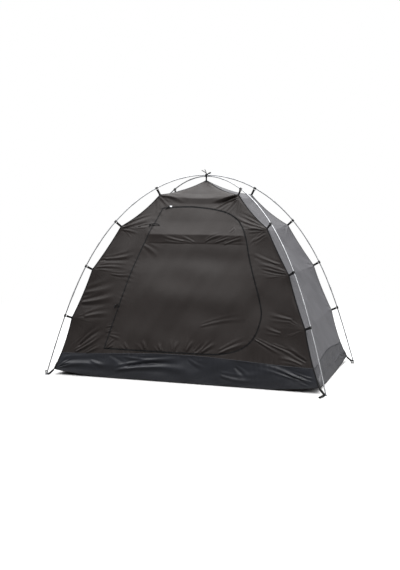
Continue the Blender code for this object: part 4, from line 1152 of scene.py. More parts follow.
def ring_body(rings, closed=False):
    """Points, faces and corner UVs of a body given as one ring of points for each station."""
    stations, size = rings.shape[:2]
    zero = np.zeros(3)
    flat = np.zeros((stations, size, 2))
    points, faces, uvs = sweep(rings.mean(1), np.tile(zero, (stations, 1)), np.tile(zero, (stations, 1)), flat, closed)
    points = rings.reshape(-1, 3)
    around = np.append(0, np.cumsum(np.linalg.norm(rings[1] - np.roll(rings[1], -1, 0), axis=1)))
    along = np.append(0, np.cumsum(np.linalg.norm(np.diff(rings.mean(1), axis=0), axis=1)))
    uvs = []
    for face in faces:
        uvs += [(around[index % size], along[index // size]) for index in face]
    bm_points = points[list(faces[0])]
    normal = np.cross(bm_points[1] - bm_points[0], bm_points[2] - bm_points[0])
    if np.dot(normal, bm_points.mean(0) - rings[:2].reshape(-1, 3).mean(0)) < 0:
        turned, at = [], 0
        for face in faces:
            turned += uvs[at:at + len(face)][::-1]
            at += len(face)
        faces, uvs = [tuple(face)[::-1] for face in faces], turned
    return points, faces, uvs


corner_tapes = join_parts("corner_seam_tapes", [ring_body(corner_tape(leg)) for leg in LEGS], tape_cloth)
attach(corner_tapes, "tent")

tub_seam_parts, piping_parts = [], []
for wall in WALLS:
    share = np.linspace(-0.995, 0.995, 300)
    seam = tub_points(wall, share, np.ones(len(share)))
    hint = turn_to_wall(wall, wall_normal(wall, share, tub_level(share)))
    sides, outs = line_frames(seam, hint)
    tub_seam_parts.append(sweep(seam + outs * 0.0004, sides, outs, strap_profile(0.007, 0.0016)))
    rim = tub_points(wall, share, np.zeros(len(share)))
    sides, outs = line_frames(rim, hint)
    piping_parts.append(sweep(rim + outs * 0.0005, sides, outs, round_profile(0.0026, 8)))
tub_seams = join_parts("tub_seams", tub_seam_parts, tub_cloth)
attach(tub_seams, "tent")
piping = join_parts("floor_piping", piping_parts, tape_cloth)
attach(piping, "tent")

# %% [markdown]
# ## Zip
#
# The zip is sewn under the edges of the wall and of the door: what shows is two narrow bands
# of tape and the coil of teeth between them. One tape and its teeth lie on the wall's side and
# are attached to the tent; the others lie on the door's side. The tape is a strip of cloth laid
# along the opening, a hair behind the outer face.

# %% Zip tapes
def front_strip(name, lines, clearance, finish, thick):
    """A strip on the front wall between neighbouring lines of (x, z) places."""
    rows = len(lines)
    places = np.vstack(lines)
    points, normals = wall_places("front", places, clearance)
    triangles = grid_triangles(rows, len(lines[0]))
    a, b, c = (points[triangles[:, i]] for i in range(3))
    if (np.cross(b - a, c - a) * normals[triangles[:, 0]]).sum() < 0:
        triangles = triangles[:, ::-1]
    along = np.append(0, np.cumsum(np.linalg.norm(np.diff(lines[0], axis=0), axis=1)))
    widths = np.linspace(0, np.linalg.norm(lines[-1][0] - lines[0][0]), rows)
    uvs = np.stack([np.tile(along, rows), np.repeat(widths, len(lines[0]))], 1)
    return cloth(name, points, triangles, uvs, finish, thick)


zip_path = even_line(zip_line, 0.005)
TAPE_EDGE = 0.0008
ZIP_TAPE_THICK = 0.0007
behind = -CLOTH_THICK - 0.0002
wall_tape_lines = [offset_line(zip_path, offset) for offset in (TAPE_EDGE, 0.006, 0.011, 0.016)]
door_tape_lines = [offset_line(zip_path, -offset) for offset in (TAPE_EDGE, 0.006, 0.011)]
wall_tape = front_strip("zip_tape_wall", wall_tape_lines, behind, tape_cloth, ZIP_TAPE_THICK)
door_tape = front_strip("zip_tape_door", door_tape_lines, behind, tape_cloth, ZIP_TAPE_THICK)
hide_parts("door_zip")
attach(wall_tape, "tent")
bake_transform(door_tape)

seam_fold = front_strip(
    "door_seam_fold", [offset_line(even_line(seam_line, 0.006), offset) for offset in (-0.0038, 0.0, 0.0038)],
    0.0016, tape_cloth, 0.0012,
)
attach(seam_fold, "tent")

# %% [markdown]
# ## Stitches and teeth with Geometry Nodes
#
# Thousands of stitches and teeth repeat at an even pitch along a line. One node tree does
# both: it turns a chain of edges into a curve, places a small unit at every pitch, and
# turns it so that X runs along the seam and Z points out of the cloth.

# %% The tree that repeats a unit along lines
def repeat_tree():
    tree = bpy.data.node_groups.new("repeat_along_line", "GeometryNodeTree")
    for label, kind in (("Line", "Geometry"), ("Unit", "Object"), ("Pitch", "Float"), ("Finish", "Material")):
        tree.interface.new_socket(label, in_out="INPUT", socket_type="NodeSocket" + kind)
    tree.interface.new_socket("Row", in_out="OUTPUT", socket_type="NodeSocketGeometry")
    given, result = tree.nodes.new("NodeGroupInput"), tree.nodes.new("NodeGroupOutput")
    curve = add_node(tree, "GeometryNodeMeshToCurve", _0=given.outputs["Line"])
    spaced = add_node(tree, "GeometryNodeResampleCurve", {"mode": "LENGTH"}, Curve=curve.outputs[0], Length=given.outputs["Pitch"])
    outward = add_node(tree, "GeometryNodeInputNamedAttribute", {"data_type": "FLOAT_VECTOR"}, Name="outward")
    tangent = add_node(tree, "GeometryNodeInputTangent")
    turn = add_node(
        tree, "FunctionNodeAxesToRotation", {"primary_axis": "Z", "secondary_axis": "X"},
        _0=outward.outputs[0], _1=tangent.outputs[0],
    )
    unit_mesh = add_node(tree, "GeometryNodeObjectInfo", Object=given.outputs["Unit"])
    placed = add_node(
        tree, "GeometryNodeInstanceOnPoints", Points=spaced.outputs[0], Instance=unit_mesh.outputs["Geometry"],
        Rotation=turn.outputs[0],
    )
    real = add_node(tree, "GeometryNodeRealizeInstances", _0=placed.outputs[0])
    finished = add_node(tree, "GeometryNodeSetMaterial", _0=real.outputs[0], Material=given.outputs["Finish"])
    tree.links.new(finished.outputs[0], result.inputs[0])
    return tree


def use_tree(name, mesh, tree, settings):
    """Run a tree on a mesh and keep only what it makes."""
    obj = bpy.data.objects.new(name, mesh)
    bpy.context.scene.collection.objects.link(obj)
    step = obj.modifiers.new("make", "NODES")
    step.node_group = tree
    for item in tree.interface.items_tree:
        if item.in_out == "INPUT" and item.name in settings:
            step[item.identifier] = settings[item.name]
    graph = bpy.context.evaluated_depsgraph_get()
    made = bpy.data.meshes.new_from_object(obj.evaluated_get(graph), preserve_all_data_layers=True, depsgraph=graph)
    obj.modifiers.remove(step)
    obj.data = made
    made.name = name
    made.shade_smooth()
    made.set_sharp_from_angle(angle=math.radians(50))
    return obj


def line_mesh(chains):
    """A mesh of edge chains; each chain is its points and the outward directions there."""
    points, edges, outward, offset = [], [], [], 0
    for chain, out in chains:
        points.append(chain)
        outward.append(out)
        edges += [(offset + i, offset + i + 1) for i in range(len(chain) - 1)]
        offset += len(chain)
    mesh = bpy.data.meshes.new("seam_lines")
    mesh.from_pydata(np.vstack(points).tolist(), edges, [])
    layer = mesh.attributes.new("outward", "FLOAT_VECTOR", "POINT")
    layer.data.foreach_set("vector", np.vstack(outward).astype(np.float32).ravel())
    return mesh


def unit_object(name, size, steps=5):
    """A little capsule lying along X, size (length, width, height)."""
    mesh = bpy.data.meshes.new(name)
    build = bmesh.new()
    bmesh.ops.create_uvsphere(build, u_segments=steps, v_segments=3, radius=0.5)
    bmesh.ops.rotate(build, verts=build.verts, matrix=Matrix.Rotation(math.pi / 2, 3, "Y"))
    bmesh.ops.scale(build, verts=build.verts, vec=size)
    build.to_mesh(mesh)
    build.free()
    return bpy.data.objects.new(name, mesh)


row_tree = repeat_tree()
stitch = unit_object("stitch_unit", (0.0034, 0.0009, 0.0007))
tooth = unit_object("tooth_unit", (0.0013, 0.0032, 0.0020))


def front_chain(line, offset, clearance):
    return wall_places("front", even_line(offset_line(line, offset), 0.008), clearance)


wall_stitch_chains = [front_chain(zip_path, 0.0075, 0.0001), front_chain(zip_path, 0.0135, 0.0001)]
wall_stitch_chains += [front_chain(seam_line, offset, 0.0018 - 0.0006 * (offset > 0.004)) for offset in (0.0, 0.0065)]
for leg in LEGS:
    rings = corner_tape(leg)
    outward = unit(rings[:, 2] - rings[:, 7])
    for column in (0, 4):
        place = rings[:, column] * 0.75 + rings[:, 2] * 0.25
        wall_stitch_chains.append((place + outward * 0.0003, outward))
for wall in WALLS:
    share = np.linspace(-0.99, 0.99, 260)
    for up in (0.985, 1.0):
        line = tub_points(wall, share, np.full(len(share), up))
        hint = turn_to_wall(wall, wall_normal(wall, share, tub_level(share)))
        wall_stitch_chains.append((line + hint * 0.0013, hint))
seam_stitches = use_tree(
    "seam_stitches", line_mesh(wall_stitch_chains), row_tree, {"Unit": stitch, "Pitch": 0.0048, "Finish": thread_cloth},
)
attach(seam_stitches, "tent")
door_chains = [front_chain(zip_path, -0.0075, 0.0001), front_chain(seam_line, -0.006, 0.0001)]
door_chains += [wall_places("front", [(x, BAND_BOTTOM - 0.001) for x in np.linspace(-0.34, 0.41, 90)], 0.0001)]
door_stitches = use_tree(
    "door_stitches", line_mesh(door_chains), row_tree, {"Unit": stitch, "Pitch": 0.0048, "Finish": thread_cloth},
)
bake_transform(door_stitches)
wall_teeth = use_tree(
    "zip_teeth_wall", line_mesh([front_chain(zip_path, 0.0008, 0.0)]), row_tree,
    {"Unit": tooth, "Pitch": 0.0025, "Finish": coil_nylon},
)
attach(wall_teeth, "tent")
door_teeth = use_tree(
    "zip_teeth_door", line_mesh([front_chain(zip_path, -0.0010, 0.0002)]), row_tree,
    {"Unit": tooth, "Pitch": 0.0025, "Finish": coil_nylon},
)
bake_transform(door_teeth)
print("stitch faces:", len(seam_stitches.data.polygons), len(door_stitches.data.polygons),
      "tooth faces:", len(wall_teeth.data.polygons), len(door_teeth.data.polygons))

# %% [markdown]
# ## Slider, pull and tie-back toggles
#
# The slider waits at the top of the zip beside the seam, with its pull laid over the wall. A
# slider is two wings joined by a bridge. The toggles are small turned barrels with a waist,
# each on a loop of elastic; the rolled door is tied back with them.

# %% Slider
def block(size, centre, bevel=0.0006):
    """Points, faces and corner UVs of a box with rounded edges."""
    build = bmesh.new()
    bmesh.ops.create_cube(build, size=1.0)
    bmesh.ops.scale(build, verts=build.verts, vec=size)
    bmesh.ops.translate(build, verts=build.verts, vec=centre)
    bmesh.ops.bevel(build, geom=build.edges[:], offset=bevel, segments=2, affect="EDGES", profile=0.6)
    return from_bmesh(build)


def from_bmesh(build):
    build.verts.ensure_lookup_table()
    points = np.array([vert.co for vert in build.verts])
    faces = [tuple(vert.index for vert in face.verts) for face in build.faces]
    uvs = []
    for face in build.faces:
        drop = int(np.argmax(np.abs(face.normal)))
        keep = [i for i in range(3) if i != drop]
        uvs += [(vert.co[keep[0]], vert.co[keep[1]]) for vert in face.verts]
    build.free()
    return points, faces, uvs


def placed(part, matrix):
    """A body moved by a 4x4 frame."""
    points, faces, uvs = part
    matrix = np.array(matrix)
    return points @ matrix[:3, :3].T + matrix[:3, 3], faces, uvs


def front_frame(place, heading, clearance):
    """A frame on the front wall: X along the heading in (x, z), Z out of the cloth."""
    heading = np.asarray(heading, dtype=float)
    points, normals = wall_places("front", [place, np.asarray(place) + heading * 0.01], clearance)
    out = normals[0]
    along = unit(points[1] - points[0])
    across = unit(np.cross(out, along))
    result = np.eye(4)
    result[:3, :3] = np.stack([np.cross(across, out), across, out], 1)
    result[:3, 3] = points[0]
    return result


SLIDER_PLACE = offset_line(zip_line, 0.006)[OUTLINE_STEPS // 4]
slider_frame = front_frame(SLIDER_PLACE, (1, 0), 0.0012)
slider_parts = [
    block((0.018, 0.013, 0.0018), (0, 0, 0.0009)), block((0.017, 0.012, 0.0016), (0, 0, 0.0050)),
    block((0.004, 0.0045, 0.005), (0.005, 0, 0.0031)), block((0.013, 0.003, 0.0018), (-0.0005, 0, 0.0066)),
]
slider = join_parts("zip_slider_body", [placed(part, slider_frame) for part in slider_parts], slider_metal, 30)
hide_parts("zip_slider")
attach(slider, "tent")
pull_keys = [(-0.006, 0, 0.0084), (-0.013, -0.002, 0.0072), (-0.022, -0.007, 0.0046), (-0.031, -0.013, 0.0030), (-0.040, -0.020, 0.0026)]
pull_line = smooth_line(pull_keys, 5)
pull_sides, pull_outs = line_frames(pull_line, (0, 0, 1))
pull_strip = sweep(pull_line, pull_sides, pull_outs, strap_profile(0.0110, 0.0022))
pull = join_parts("zip_pull", [placed(pull_strip, slider_frame)], webbing_cloth)
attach(pull, "tent")

# %% Tie-back toggles
TOGGLE_HEIGHTS, TOGGLE_INSET = (1.180, 0.553), 0.030


def turned_barrel(length, radii):
    """A barrel along X whose radius follows a list."""
    radii = np.asarray(radii, dtype=float)
    along = np.linspace(-length / 2, length / 2, len(radii))
    centres = np.stack([along, along * 0, along * 0], 1)
    profile = round_profile(1.0, 16)[None] * radii[:, None, None]
    return sweep(centres, np.tile([0, 1, 0], (len(radii), 1)), np.tile([0, 0, 1], (len(radii), 1)), profile)


barrel_radii = np.array([0.0024, 0.0036, 0.0040, 0.0040, 0.0039, 0.0034, 0.0029, 0.0029, 0.0034, 0.0039, 0.0040, 0.0040, 0.0036, 0.0024])
for name, height, reach in zip(("upper", "lower"), TOGGLE_HEIGHTS, (0.080, 0.036)):
    x = np.interp(height, seam_line[:, 1], seam_line[:, 0]) - TOGGLE_INSET
    toggle_frame = front_frame((x, height), (0.3, 1), 0.0044)
    barrel = join_parts(f"toggle_barrel_{name}", [placed(turned_barrel(0.030, barrel_radii), toggle_frame)], moulded_plastic)
    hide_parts("toggle_" + name)
    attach(barrel, "tent")
    loop = [(0, 0, 0.0105), (0.012, 0.009, 0.0050), (reach * 0.6, 0.014, 0.0028), (reach * 0.95, 0.004, 0.0024)]
    loop += [(reach, -0.002, 0.0024), (reach * 0.6, 0.002, 0.0026), (0.014, -0.004, 0.0050), (0, 0, 0.0105)]
    loop = smooth_line(loop, 8) + [x, height, 0]
    loop = np.vstack([wall_places("front", place[None, :2], place[2])[0] for place in loop])
    sides, outs = line_frames(loop, (0, -1, 0))
    elastic = join_parts(f"toggle_loop_{name}", [sweep(loop, sides, outs, round_profile(0.0017, 8))], webbing_cloth)
    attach(elastic, "tent")
print("slider at", SLIDER_PLACE.round(3))

# %% [markdown]
# ## Poles
#
# Each pole is a set of thin alloy tubes that plug together; at every joint sits a slightly
# thicker ferrule. The shape follows a rule, so a node tree makes it: a chain of points that
# carries its own radius becomes a curve, and a circle is carried along it.

# %% Pole tree
FERRULE_RADIUS, FERRULE_LENGTH, FERRULE_EDGE = 0.0056, 0.05, 0.0008
FIRST_FERRULE, FERRULE_PITCH, FERRULES_PER_HALF = 0.24, 0.44, 5
POLE_FOOT = 0.0064


def tube_tree():
    tree = bpy.data.node_groups.new("tube_with_radii", "GeometryNodeTree")
    for label, kind in (("Line", "Geometry"), ("Sides", "Int"), ("Finish", "Material")):
        tree.interface.new_socket(label, in_out="INPUT", socket_type="NodeSocket" + kind)
    tree.interface.new_socket("Tube", in_out="OUTPUT", socket_type="NodeSocketGeometry")
    given, result = tree.nodes.new("NodeGroupInput"), tree.nodes.new("NodeGroupOutput")
    curve = add_node(tree, "GeometryNodeMeshToCurve", _0=given.outputs["Line"])
    radius = add_node(tree, "GeometryNodeInputNamedAttribute", {"data_type": "FLOAT"}, Name="tube_radius")
    circle = add_node(tree, "GeometryNodeCurvePrimitiveCircle", Resolution=given.outputs["Sides"], Radius=1.0)
    tube = add_node(
        tree, "GeometryNodeCurveToMesh", Curve=curve.outputs[0], Profile_Curve=circle.outputs[0],
        Scale=radius.outputs[0], Fill_Caps=True,
    )
    real = add_node(tree, "GeometryNodeRealizeInstances", _0=tube.outputs[0])
    finished = add_node(tree, "GeometryNodeSetMaterial", _0=real.outputs[0], Material=given.outputs["Finish"])
    tree.links.new(finished.outputs[0], result.inputs[0])
    return tree


def pole_stations(half):
    """Lengths up from the foot and the tube's radius there."""
    plain = np.linspace(POLE_FOOT, half[0], 150)
    radii = {float(along): POLE_RADIUS for along in plain}
    for middle in FIRST_FERRULE + FERRULE_PITCH * np.arange(FERRULES_PER_HALF):
        low, high = middle - FERRULE_LENGTH / 2, middle + FERRULE_LENGTH / 2
        radii = {along: radius for along, radius in radii.items() if not low - 0.002 < along < high + 0.002}
        radii[low - FERRULE_EDGE * 0.2] = radii[high + FERRULE_EDGE * 0.2] = POLE_RADIUS
        radii[low] = radii[high] = FERRULE_RADIUS - FERRULE_EDGE / 2
        for along in np.linspace(low + FERRULE_EDGE, high - FERRULE_EDGE, 8):
            radii[float(along)] = FERRULE_RADIUS
    stations = sorted(radii.items())
    return np.array([s[0] for s in stations]), np.array([s[1] for s in stations])


pole_maker = tube_tree()
for first, second in (("front_left", "back_right"), ("front_right", "back_left")):
    half = pole_half(pole_crown(first))
    ups, radii = pole_stations(half)
    out, height, _ = pole_place(half, ups)
    sides = [leg_axes(leg)[0] * out[:, None] + np.array([0, 0, 1]) * height[:, None] for leg in (first, second)]
    line = np.vstack([sides[0], sides[1][-2::-1]])
    mesh = bpy.data.meshes.new("pole_line")
    mesh.from_pydata(line.tolist(), [(i, i + 1) for i in range(len(line) - 1)], [])
    layer = mesh.attributes.new("tube_radius", "FLOAT", "POINT")
    layer.data.foreach_set("value", np.append(radii, radii[-2::-1]).astype(np.float32))
    pole = use_tree(f"bent_pole_{first}", mesh, pole_maker, {"Sides": 20, "Finish": pole_metal})
    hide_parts(f"pole_{first}_to_{second}")
    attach(pole, "tent")
    print("pole", first, "points:", len(line), "length:", round(2 * half[0], 3), "m")

# %% [markdown]
# ## Clips
#
# Each clip is a moulded hook that snaps over the pole, with a bar at its back. A webbing
# strap runs round that bar and down to the bound seam. The hook is one profile pushed
# along the pole; the strap is a loop of flat tape, sewn to itself below the bar.

# %% Hook and strap shapes
CLIP_WIDTH, WEBBING_THICK, HOOK_WALL = 0.020, 0.0024, 0.0035
BAR_DISTANCE = 0.0150


def arc(radius, start, end, count, centre=(0, 0)):
    turns = np.radians(np.linspace(start, end, count))
    return np.stack([centre[0] + radius * np.cos(turns), centre[1] + radius * np.sin(turns)], 1)


def pushed(outline, low, high, bevel=0.0005):
    """A prism of an outline in XY between two heights, with rounded edges."""
    build = bmesh.new()
    face = build.faces.new([build.verts.new((x, y, low)) for x, y in outline])
    swept = bmesh.ops.extrude_face_region(build, geom=[face])
    verts = [item for item in swept["geom"] if isinstance(item, bmesh.types.BMVert)]
    bmesh.ops.translate(build, verts=verts, vec=(0, 0, high - low))
    bmesh.ops.recalc_face_normals(build, faces=build.faces)
    rims = [edge for edge in build.edges if abs(edge.verts[0].co.z - edge.verts[1].co.z) < 1e-6]
    bmesh.ops.bevel(build, geom=rims, offset=bevel, segments=2, affect="EDGES", profile=0.6)
    return from_bmesh(build)


def clip_frame(leg, number):
    """X from the pole to the seam, Y across the diagonal, Z along the pole; and the distance."""
    half = pole_half(pole_crown(leg))
    samples = np.linspace(0, half[0], 4000)
    outs, heights, _ = pole_place(half, samples)
    nearest = int(np.argmin(np.hypot(outs - ANCHORS[number][0], heights - ANCHORS[number][1])))
    out_axis, across_axis = leg_axes(leg)
    up = np.array([0, 0, 1])
    at_pole = out_axis * outs[nearest] + up * heights[nearest]
    at_seam = out_axis * ANCHORS[number][0] + up * ANCHORS[number][1]
    toward = unit(at_seam - at_pole)
    result = np.eye(4)
    result[:3, :3] = np.stack([toward, across_axis, np.cross(toward, across_axis)], 1)
    result[:3, 3] = at_pole
    return result, float(np.linalg.norm(at_seam - at_pole))


inner, outer = POLE_RADIUS + TOUCH_GAP, POLE_RADIUS + TOUCH_GAP + HOOK_WALL
jaw = np.vstack([arc(outer, 112, 335, 22), arc(outer, 340, 388, 6), arc(inner, 388, 112, 28)])
hook_parts = [pushed(jaw, -CLIP_WIDTH / 2, CLIP_WIDTH / 2)]
for turn in (29, 111):
    centre = ((inner + outer) / 2 * math.cos(math.radians(turn)), (inner + outer) / 2 * math.sin(math.radians(turn)))
    hook_parts.append(pushed(arc(HOOK_WALL / 2 + 0.0004, 0, 330, 12, centre), -CLIP_WIDTH / 2 + 0.0006, CLIP_WIDTH / 2 - 0.0006))
for side in (-1, 1):
    hook_parts.append(block((BAR_DISTANCE - outer + 0.0045, 0.0056, 0.0016), ((BAR_DISTANCE + outer) / 2 + 0.0006, 0, side * (CLIP_WIDTH / 2 - 0.0008))))
bar_line = np.array([(BAR_DISTANCE, 0, share * (CLIP_WIDTH / 2 - 0.0007)) for share in (-1, 0, 1)])
hook_parts.append(sweep(bar_line, np.tile([1, 0, 0], (3, 1)), np.tile([0, 1, 0], (3, 1)), round_profile(0.0015, 10)))
STRAP_WIDTH = 0.0168


def clip_strap(distance):
    """Webbing round the bar and down to the seam, in the clip's own frame."""
    half = WEBBING_THICK / 4 + 0.0002
    down = [(distance + 0.003, half), (distance * 0.7, half), (BAR_DISTANCE + 0.008, half), (BAR_DISTANCE + 0.003, 0.0016)]
    bend = [tuple(point) for point in arc(0.0022, 60, 300, 9, (BAR_DISTANCE, 0))]
    line = np.array(down + bend + [(x, -y) for x, y in down[::-1]])
    centres = np.stack([line[:, 0], line[:, 1], np.zeros(len(line))], 1)
    sides, outs = line_frames(centres, (0, 0, 1))
    return sweep(centres, sides, outs, strap_profile(STRAP_WIDTH, 0.0011)[:, ::-1])


hooks, straps, strap_chains = [], [], []
for leg in LEGS:
    for number in range(1, CLIPS_PER_LEG + 1):
        matrix, distance = clip_frame(leg, number)
        hooks += [placed(part, matrix) for part in hook_parts]
        straps.append(placed(clip_strap(distance), matrix))
        for x in (BAR_DISTANCE + 0.010, BAR_DISTANCE + 0.014, distance - 0.006):
            for side in (-1, 1):
                row = np.array([(x, side * 0.0014, z) for z in np.linspace(-0.0072, 0.0072, 5)])
                row = row @ matrix[:3, :3].T + matrix[:3, 3]
                strap_chains.append((row, np.tile(matrix[:3, 1] * side, (5, 1))))
clip_hooks = join_parts("clip_hooks", hooks, moulded_plastic, 35)
clip_straps = join_parts("clip_straps", straps, webbing_cloth)
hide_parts(*[f"clip_{leg}_{number}" for leg in LEGS for number in range(1, CLIPS_PER_LEG + 1)])
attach(clip_hooks, "tent")
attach(clip_straps, "tent")

# %% [markdown]
# ## Feet
#
# A strap comes down each corner of the tub to a steel ring. A pin through the ring holds
# the end of the pole, and a loop of webbing for the peg hangs on the same ring.

# %% Straps, rings, pins and peg loops
RING_RADIUS, RING_WIRE, PIN_RADIUS = 0.0105, 0.0016, 0.0036
PEG_LOOP_LENGTH, PEG_LOOP_WIDTH, PEG_LOOP_HEIGHT = 0.10, 0.022, 0.010
PEG_LOOP_HEADING = {"front_left": 118, "front_right": -103, "back_right": -85, "back_left": -95}
CORNER_STRAP_WIDTH, CORNER_STRAP_RISE, STRAP_TWIST = 0.017, 0.055, math.radians(58)
up = np.array([0.0, 0.0, 1.0])
rings, corner_straps, peg_loops = [], [], []
for leg in LEGS:
    out_axis, across_axis = leg_axes(leg)
    centre = out_axis * HALF_DIAGONAL
    turns = np.linspace(0, 2 * np.pi, 40, endpoint=False)
    circle = centre + up * RING_WIRE + RING_RADIUS * (np.cos(turns)[:, None] * out_axis + np.sin(turns)[:, None] * across_axis)
    sides, outs = line_frames(circle, up, closed=True)
    rings.append(sweep(circle, sides, outs, round_profile(RING_WIRE, 10), closed=True))
    bar = centre + up * RING_WIRE + np.array([-1, 0, 1])[:, None] * RING_RADIUS * out_axis
    rings.append(sweep(bar, np.tile(across_axis, (3, 1)), np.tile(up, (3, 1)), strap_profile(2 * PIN_RADIUS, 0.0018)))
    half = pole_half(pole_crown(leg))
    uphill = unit(up * math.sin(half[1]) - out_axis * math.cos(half[1]))
    steps = np.array([0.0012, 0.0050, 0.0062, 0.0110, 0.030])
    radii = np.array([PIN_RADIUS + 0.0012, PIN_RADIUS + 0.0012, PIN_RADIUS, PIN_RADIUS, PIN_RADIUS])
    pin = centre + steps[:, None] * uphill
    rings.append(sweep(pin, np.tile(across_axis, (5, 1)), np.tile(np.cross(uphill, across_axis), (5, 1)), round_profile(1, 14)[None] * radii[:, None, None]))
    top = hung_edge(np.array([TUB_TOP_CORNER]))[0]
    foot = ANCHORS[0] + [0, FLOOR_THICK + TOUCH_GAP]
    along = unit(top - foot)
    outward = np.array([along[1], -along[0]])
    shift = outward * (TOUCH_GAP + WEBBING_THICK / 2 + 0.0012)
    line = np.array([foot + along * CORNER_STRAP_RISE + shift, foot + along * 0.03 + shift, foot + shift, (ANCHORS[0][0] + 0.010, CORNER_LIFT - 0.008),
                     (HALF_DIAGONAL - RING_RADIUS - 0.013, 0.0075), (HALF_DIAGONAL - RING_RADIUS - 0.004, 0.0044), (HALF_DIAGONAL - RING_RADIUS + 0.0016, 0.0042),
                     (HALF_DIAGONAL - RING_RADIUS + 0.0024, 0.0018)])
    line = smooth_line(line, 8)
    centres = out_axis * line[:, :1] + up * line[:, 1:]
    sides, outs = line_frames(centres, up + out_axis)
    stations = np.linspace(0, 1, len(centres))
    twist = STRAP_TWIST * LEGS[leg][0] * LEGS[leg][1] * smooth_step((stations - 0.22) / 0.3) * smooth_step((0.97 - stations) / 0.2)
    sides, outs = (sides * np.cos(twist)[:, None] + outs * np.sin(twist)[:, None],
                   outs * np.cos(twist)[:, None] - sides * np.sin(twist)[:, None])
    corner_straps.append(sweep(centres, sides, outs, strap_profile(CORNER_STRAP_WIDTH, 0.0020)))
    heading = math.radians(PEG_LOOP_HEADING[leg])
    ahead, left = np.array([math.cos(heading), math.sin(heading), 0]), np.array([-math.sin(heading), math.cos(heading), 0])
    bend = PEG_LOOP_WIDTH / 2 - 0.0012
    start = centre + ahead * (RING_RADIUS - 0.004)
    reach = PEG_LOOP_LENGTH + 0.012
    loop = np.array([(0.0, 0.0022), (0.016, 0.0030), (0.034, 0.0070), (reach * 0.7, bend), (reach - bend, bend),
                     *[(reach - bend + bend * math.cos(t), bend * math.sin(t)) for t in np.radians((60, 30, 0, -30, -60))],
                     (reach - bend, -bend), (reach * 0.7, -bend), (0.034, -0.0070), (0.016, -0.0030), (0.0, -0.0022)])
    loop = smooth_line(loop, 6)
    centres = start + loop[:, :1] * ahead + loop[:, 1:] * left + up * (PEG_LOOP_HEIGHT / 2 + 0.0004)
    sides, outs = line_frames(centres, up)
    peg_loops.append(sweep(centres, outs, sides, strap_profile(PEG_LOOP_HEIGHT, 0.0018)))
foot_rings = join_parts("foot_ring_wires", rings, ring_metal, 35)
corner_strap_piece = join_parts("corner_webbing", corner_straps, webbing_cloth)
peg_loop_piece = join_parts("peg_webbing", peg_loops, webbing_cloth)
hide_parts(*["foot_ring_" + leg for leg in LEGS])
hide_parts(*["corner_strap_" + leg for leg in LEGS])
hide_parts(*["peg_loop_" + leg for leg in LEGS])
for piece, slot in ((foot_rings, "foot_ring"), (corner_strap_piece, "webbing"), (peg_loop_piece, "webbing")):
    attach(piece, "tent")
strap_stitches = use_tree(
    "strap_stitches", line_mesh(strap_chains), row_tree, {"Unit": stitch, "Pitch": 0.0030, "Finish": thread_cloth},
)
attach(strap_stitches, "tent")

# %% [markdown]
# ## The tie at the crossing
#
# Where the poles cross, a band of webbing holds both of them and carries the peak of the
# tent. A toggle locks the band, and the two ends of its cord stand up above it.

# %% Band, patch, toggle and cord ends
band_half_y, band_low = 0.0112, CROSSING_HEIGHT - 2 * POLE_RADIUS - 0.0018
band_high = CROSSING_HEIGHT + 2 * POLE_RADIUS + 0.0018
middle = (band_low + band_high) / 2
band_turns = np.linspace(0, 2 * np.pi, 48, endpoint=False)
superround = lambda value: np.sign(value) * np.abs(value) ** 0.55
band_line = np.stack([0 * band_turns, band_half_y * superround(np.sin(band_turns)), middle + (band_high - band_low) / 2 * superround(np.cos(band_turns))], 1)
sides, outs = line_frames(band_line, (1, 0, 0), closed=True)
band = sweep(band_line, outs, sides, strap_profile(0.012, 0.0022), closed=True)
stem_line = np.array([(0, 0, band_low - 0.0005), (0, 0, (band_low + PEAK_HEIGHT) / 2), (0, 0, PEAK_HEIGHT - 0.006)])
stem = sweep(stem_line, np.tile([1, 0, 0], (3, 1)), np.tile([0, 1, 0], (3, 1)), strap_profile(0.012, 0.0024))
patch_rings = []
for level, raised in ((PEAK_LEVEL - 0.085, 0.0008), (PEAK_LEVEL - 0.06, 0.0018), (PEAK_LEVEL - 0.03, 0.0024)):
    share = np.linspace(-1, 1, 7)[:-1]
    rows = [turn_to_wall(wall, wall_local(wall, share, np.full(6, level))) for wall in ("front", "right", "back", "left")]
    patch_rings.append(np.vstack(rows) + [0, 0, raised])
patch_rings.append(patch_rings[-1] * [0.2, 0.3, 0] + [0, 0, PEAK_HEIGHT + 0.0015])
patch_outer = np.array(patch_rings)
patch_body = ring_body(np.concatenate([patch_outer, patch_outer[::-1] - [0, 0, 0.0035]]))
apex_band = join_parts("apex_band", [band, stem, patch_body], webbing_cloth)
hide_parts("apex_strap")
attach(apex_band, "tent")

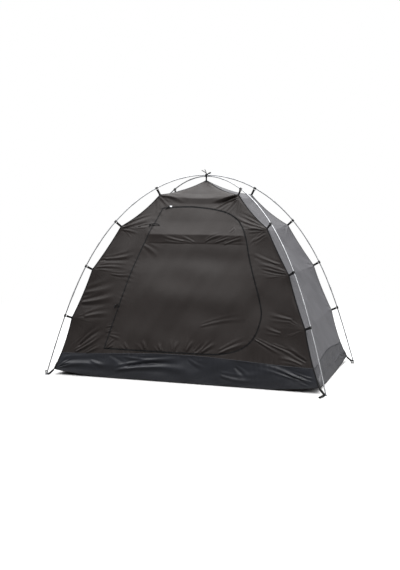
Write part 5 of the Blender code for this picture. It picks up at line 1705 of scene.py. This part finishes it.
toggle_y = -(0.0100 + WEBBING_THICK + 0.0065 + TOUCH_GAP)
toggle_a, toggle_b = np.array([-0.004, toggle_y, CROSSING_HEIGHT + 0.002]), np.array([0.044, toggle_y, CROSSING_HEIGHT + 0.024])
toggle_matrix = np.eye(4)
toggle_x = unit(toggle_b - toggle_a)
toggle_matrix[:3, :3] = np.stack([toggle_x, [0, 1, 0], np.cross(toggle_x, [0, 1, 0])], 1)
toggle_matrix[:3, 3] = (toggle_a + toggle_b) / 2
apex_toggle = join_parts("apex_toggle_barrel", [placed(turned_barrel(0.053, barrel_radii * 1.62), toggle_matrix)], moulded_plastic)
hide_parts("apex_toggle")
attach(apex_toggle, "tent")

cord_top = CROSSING_HEIGHT + 2 * POLE_RADIUS + TOUCH_GAP * 2.5 + WEBBING_THICK
knot_turns = np.linspace(0, 4 * np.pi, 60)
knot_line = np.stack([0.0024 * np.cos(knot_turns), 0.0024 * np.sin(knot_turns), cord_top + 0.0016 + 0.0030 * np.sin(knot_turns * 0.5 + 0.4) ** 2], 1)
sides, outs = line_frames(knot_line, up)
knot = join_parts("apex_knot", [sweep(knot_line, sides, outs, round_profile(0.0025, 8))], webbing_cloth)
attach(knot, "tent")
CORD_RADIUS = 0.0028
for name, keys in (
    ("long", [(-0.001, 0, cord_top + 0.003), (-0.012, 0.000, cord_top + 0.014), (-0.026, 0.000, cord_top + 0.023), (-0.040, 0, cord_top + 0.029)]),
    ("short", [(0.000, 0, cord_top + 0.002), (-0.003, 0.000, cord_top + 0.014), (-0.008, 0.000, cord_top + 0.026), (-0.014, 0, cord_top + 0.037)]),
):
    line = smooth_line(keys, 10)
    sides, outs = line_frames(line, (0, 1, 0))
    radii = np.full(len(line), CORD_RADIUS)
    radii[-4:] = [CORD_RADIUS * 1.05, CORD_RADIUS * 1.15, CORD_RADIUS * 1.1, CORD_RADIUS * 0.7]
    end = join_parts(f"apex_cord_{name}", [sweep(line, sides, outs, round_profile(1, 10)[None] * radii[:, None, None])], webbing_cloth)
    if name == "long":
        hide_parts("apex_cord_ends")
    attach(end, "tent")
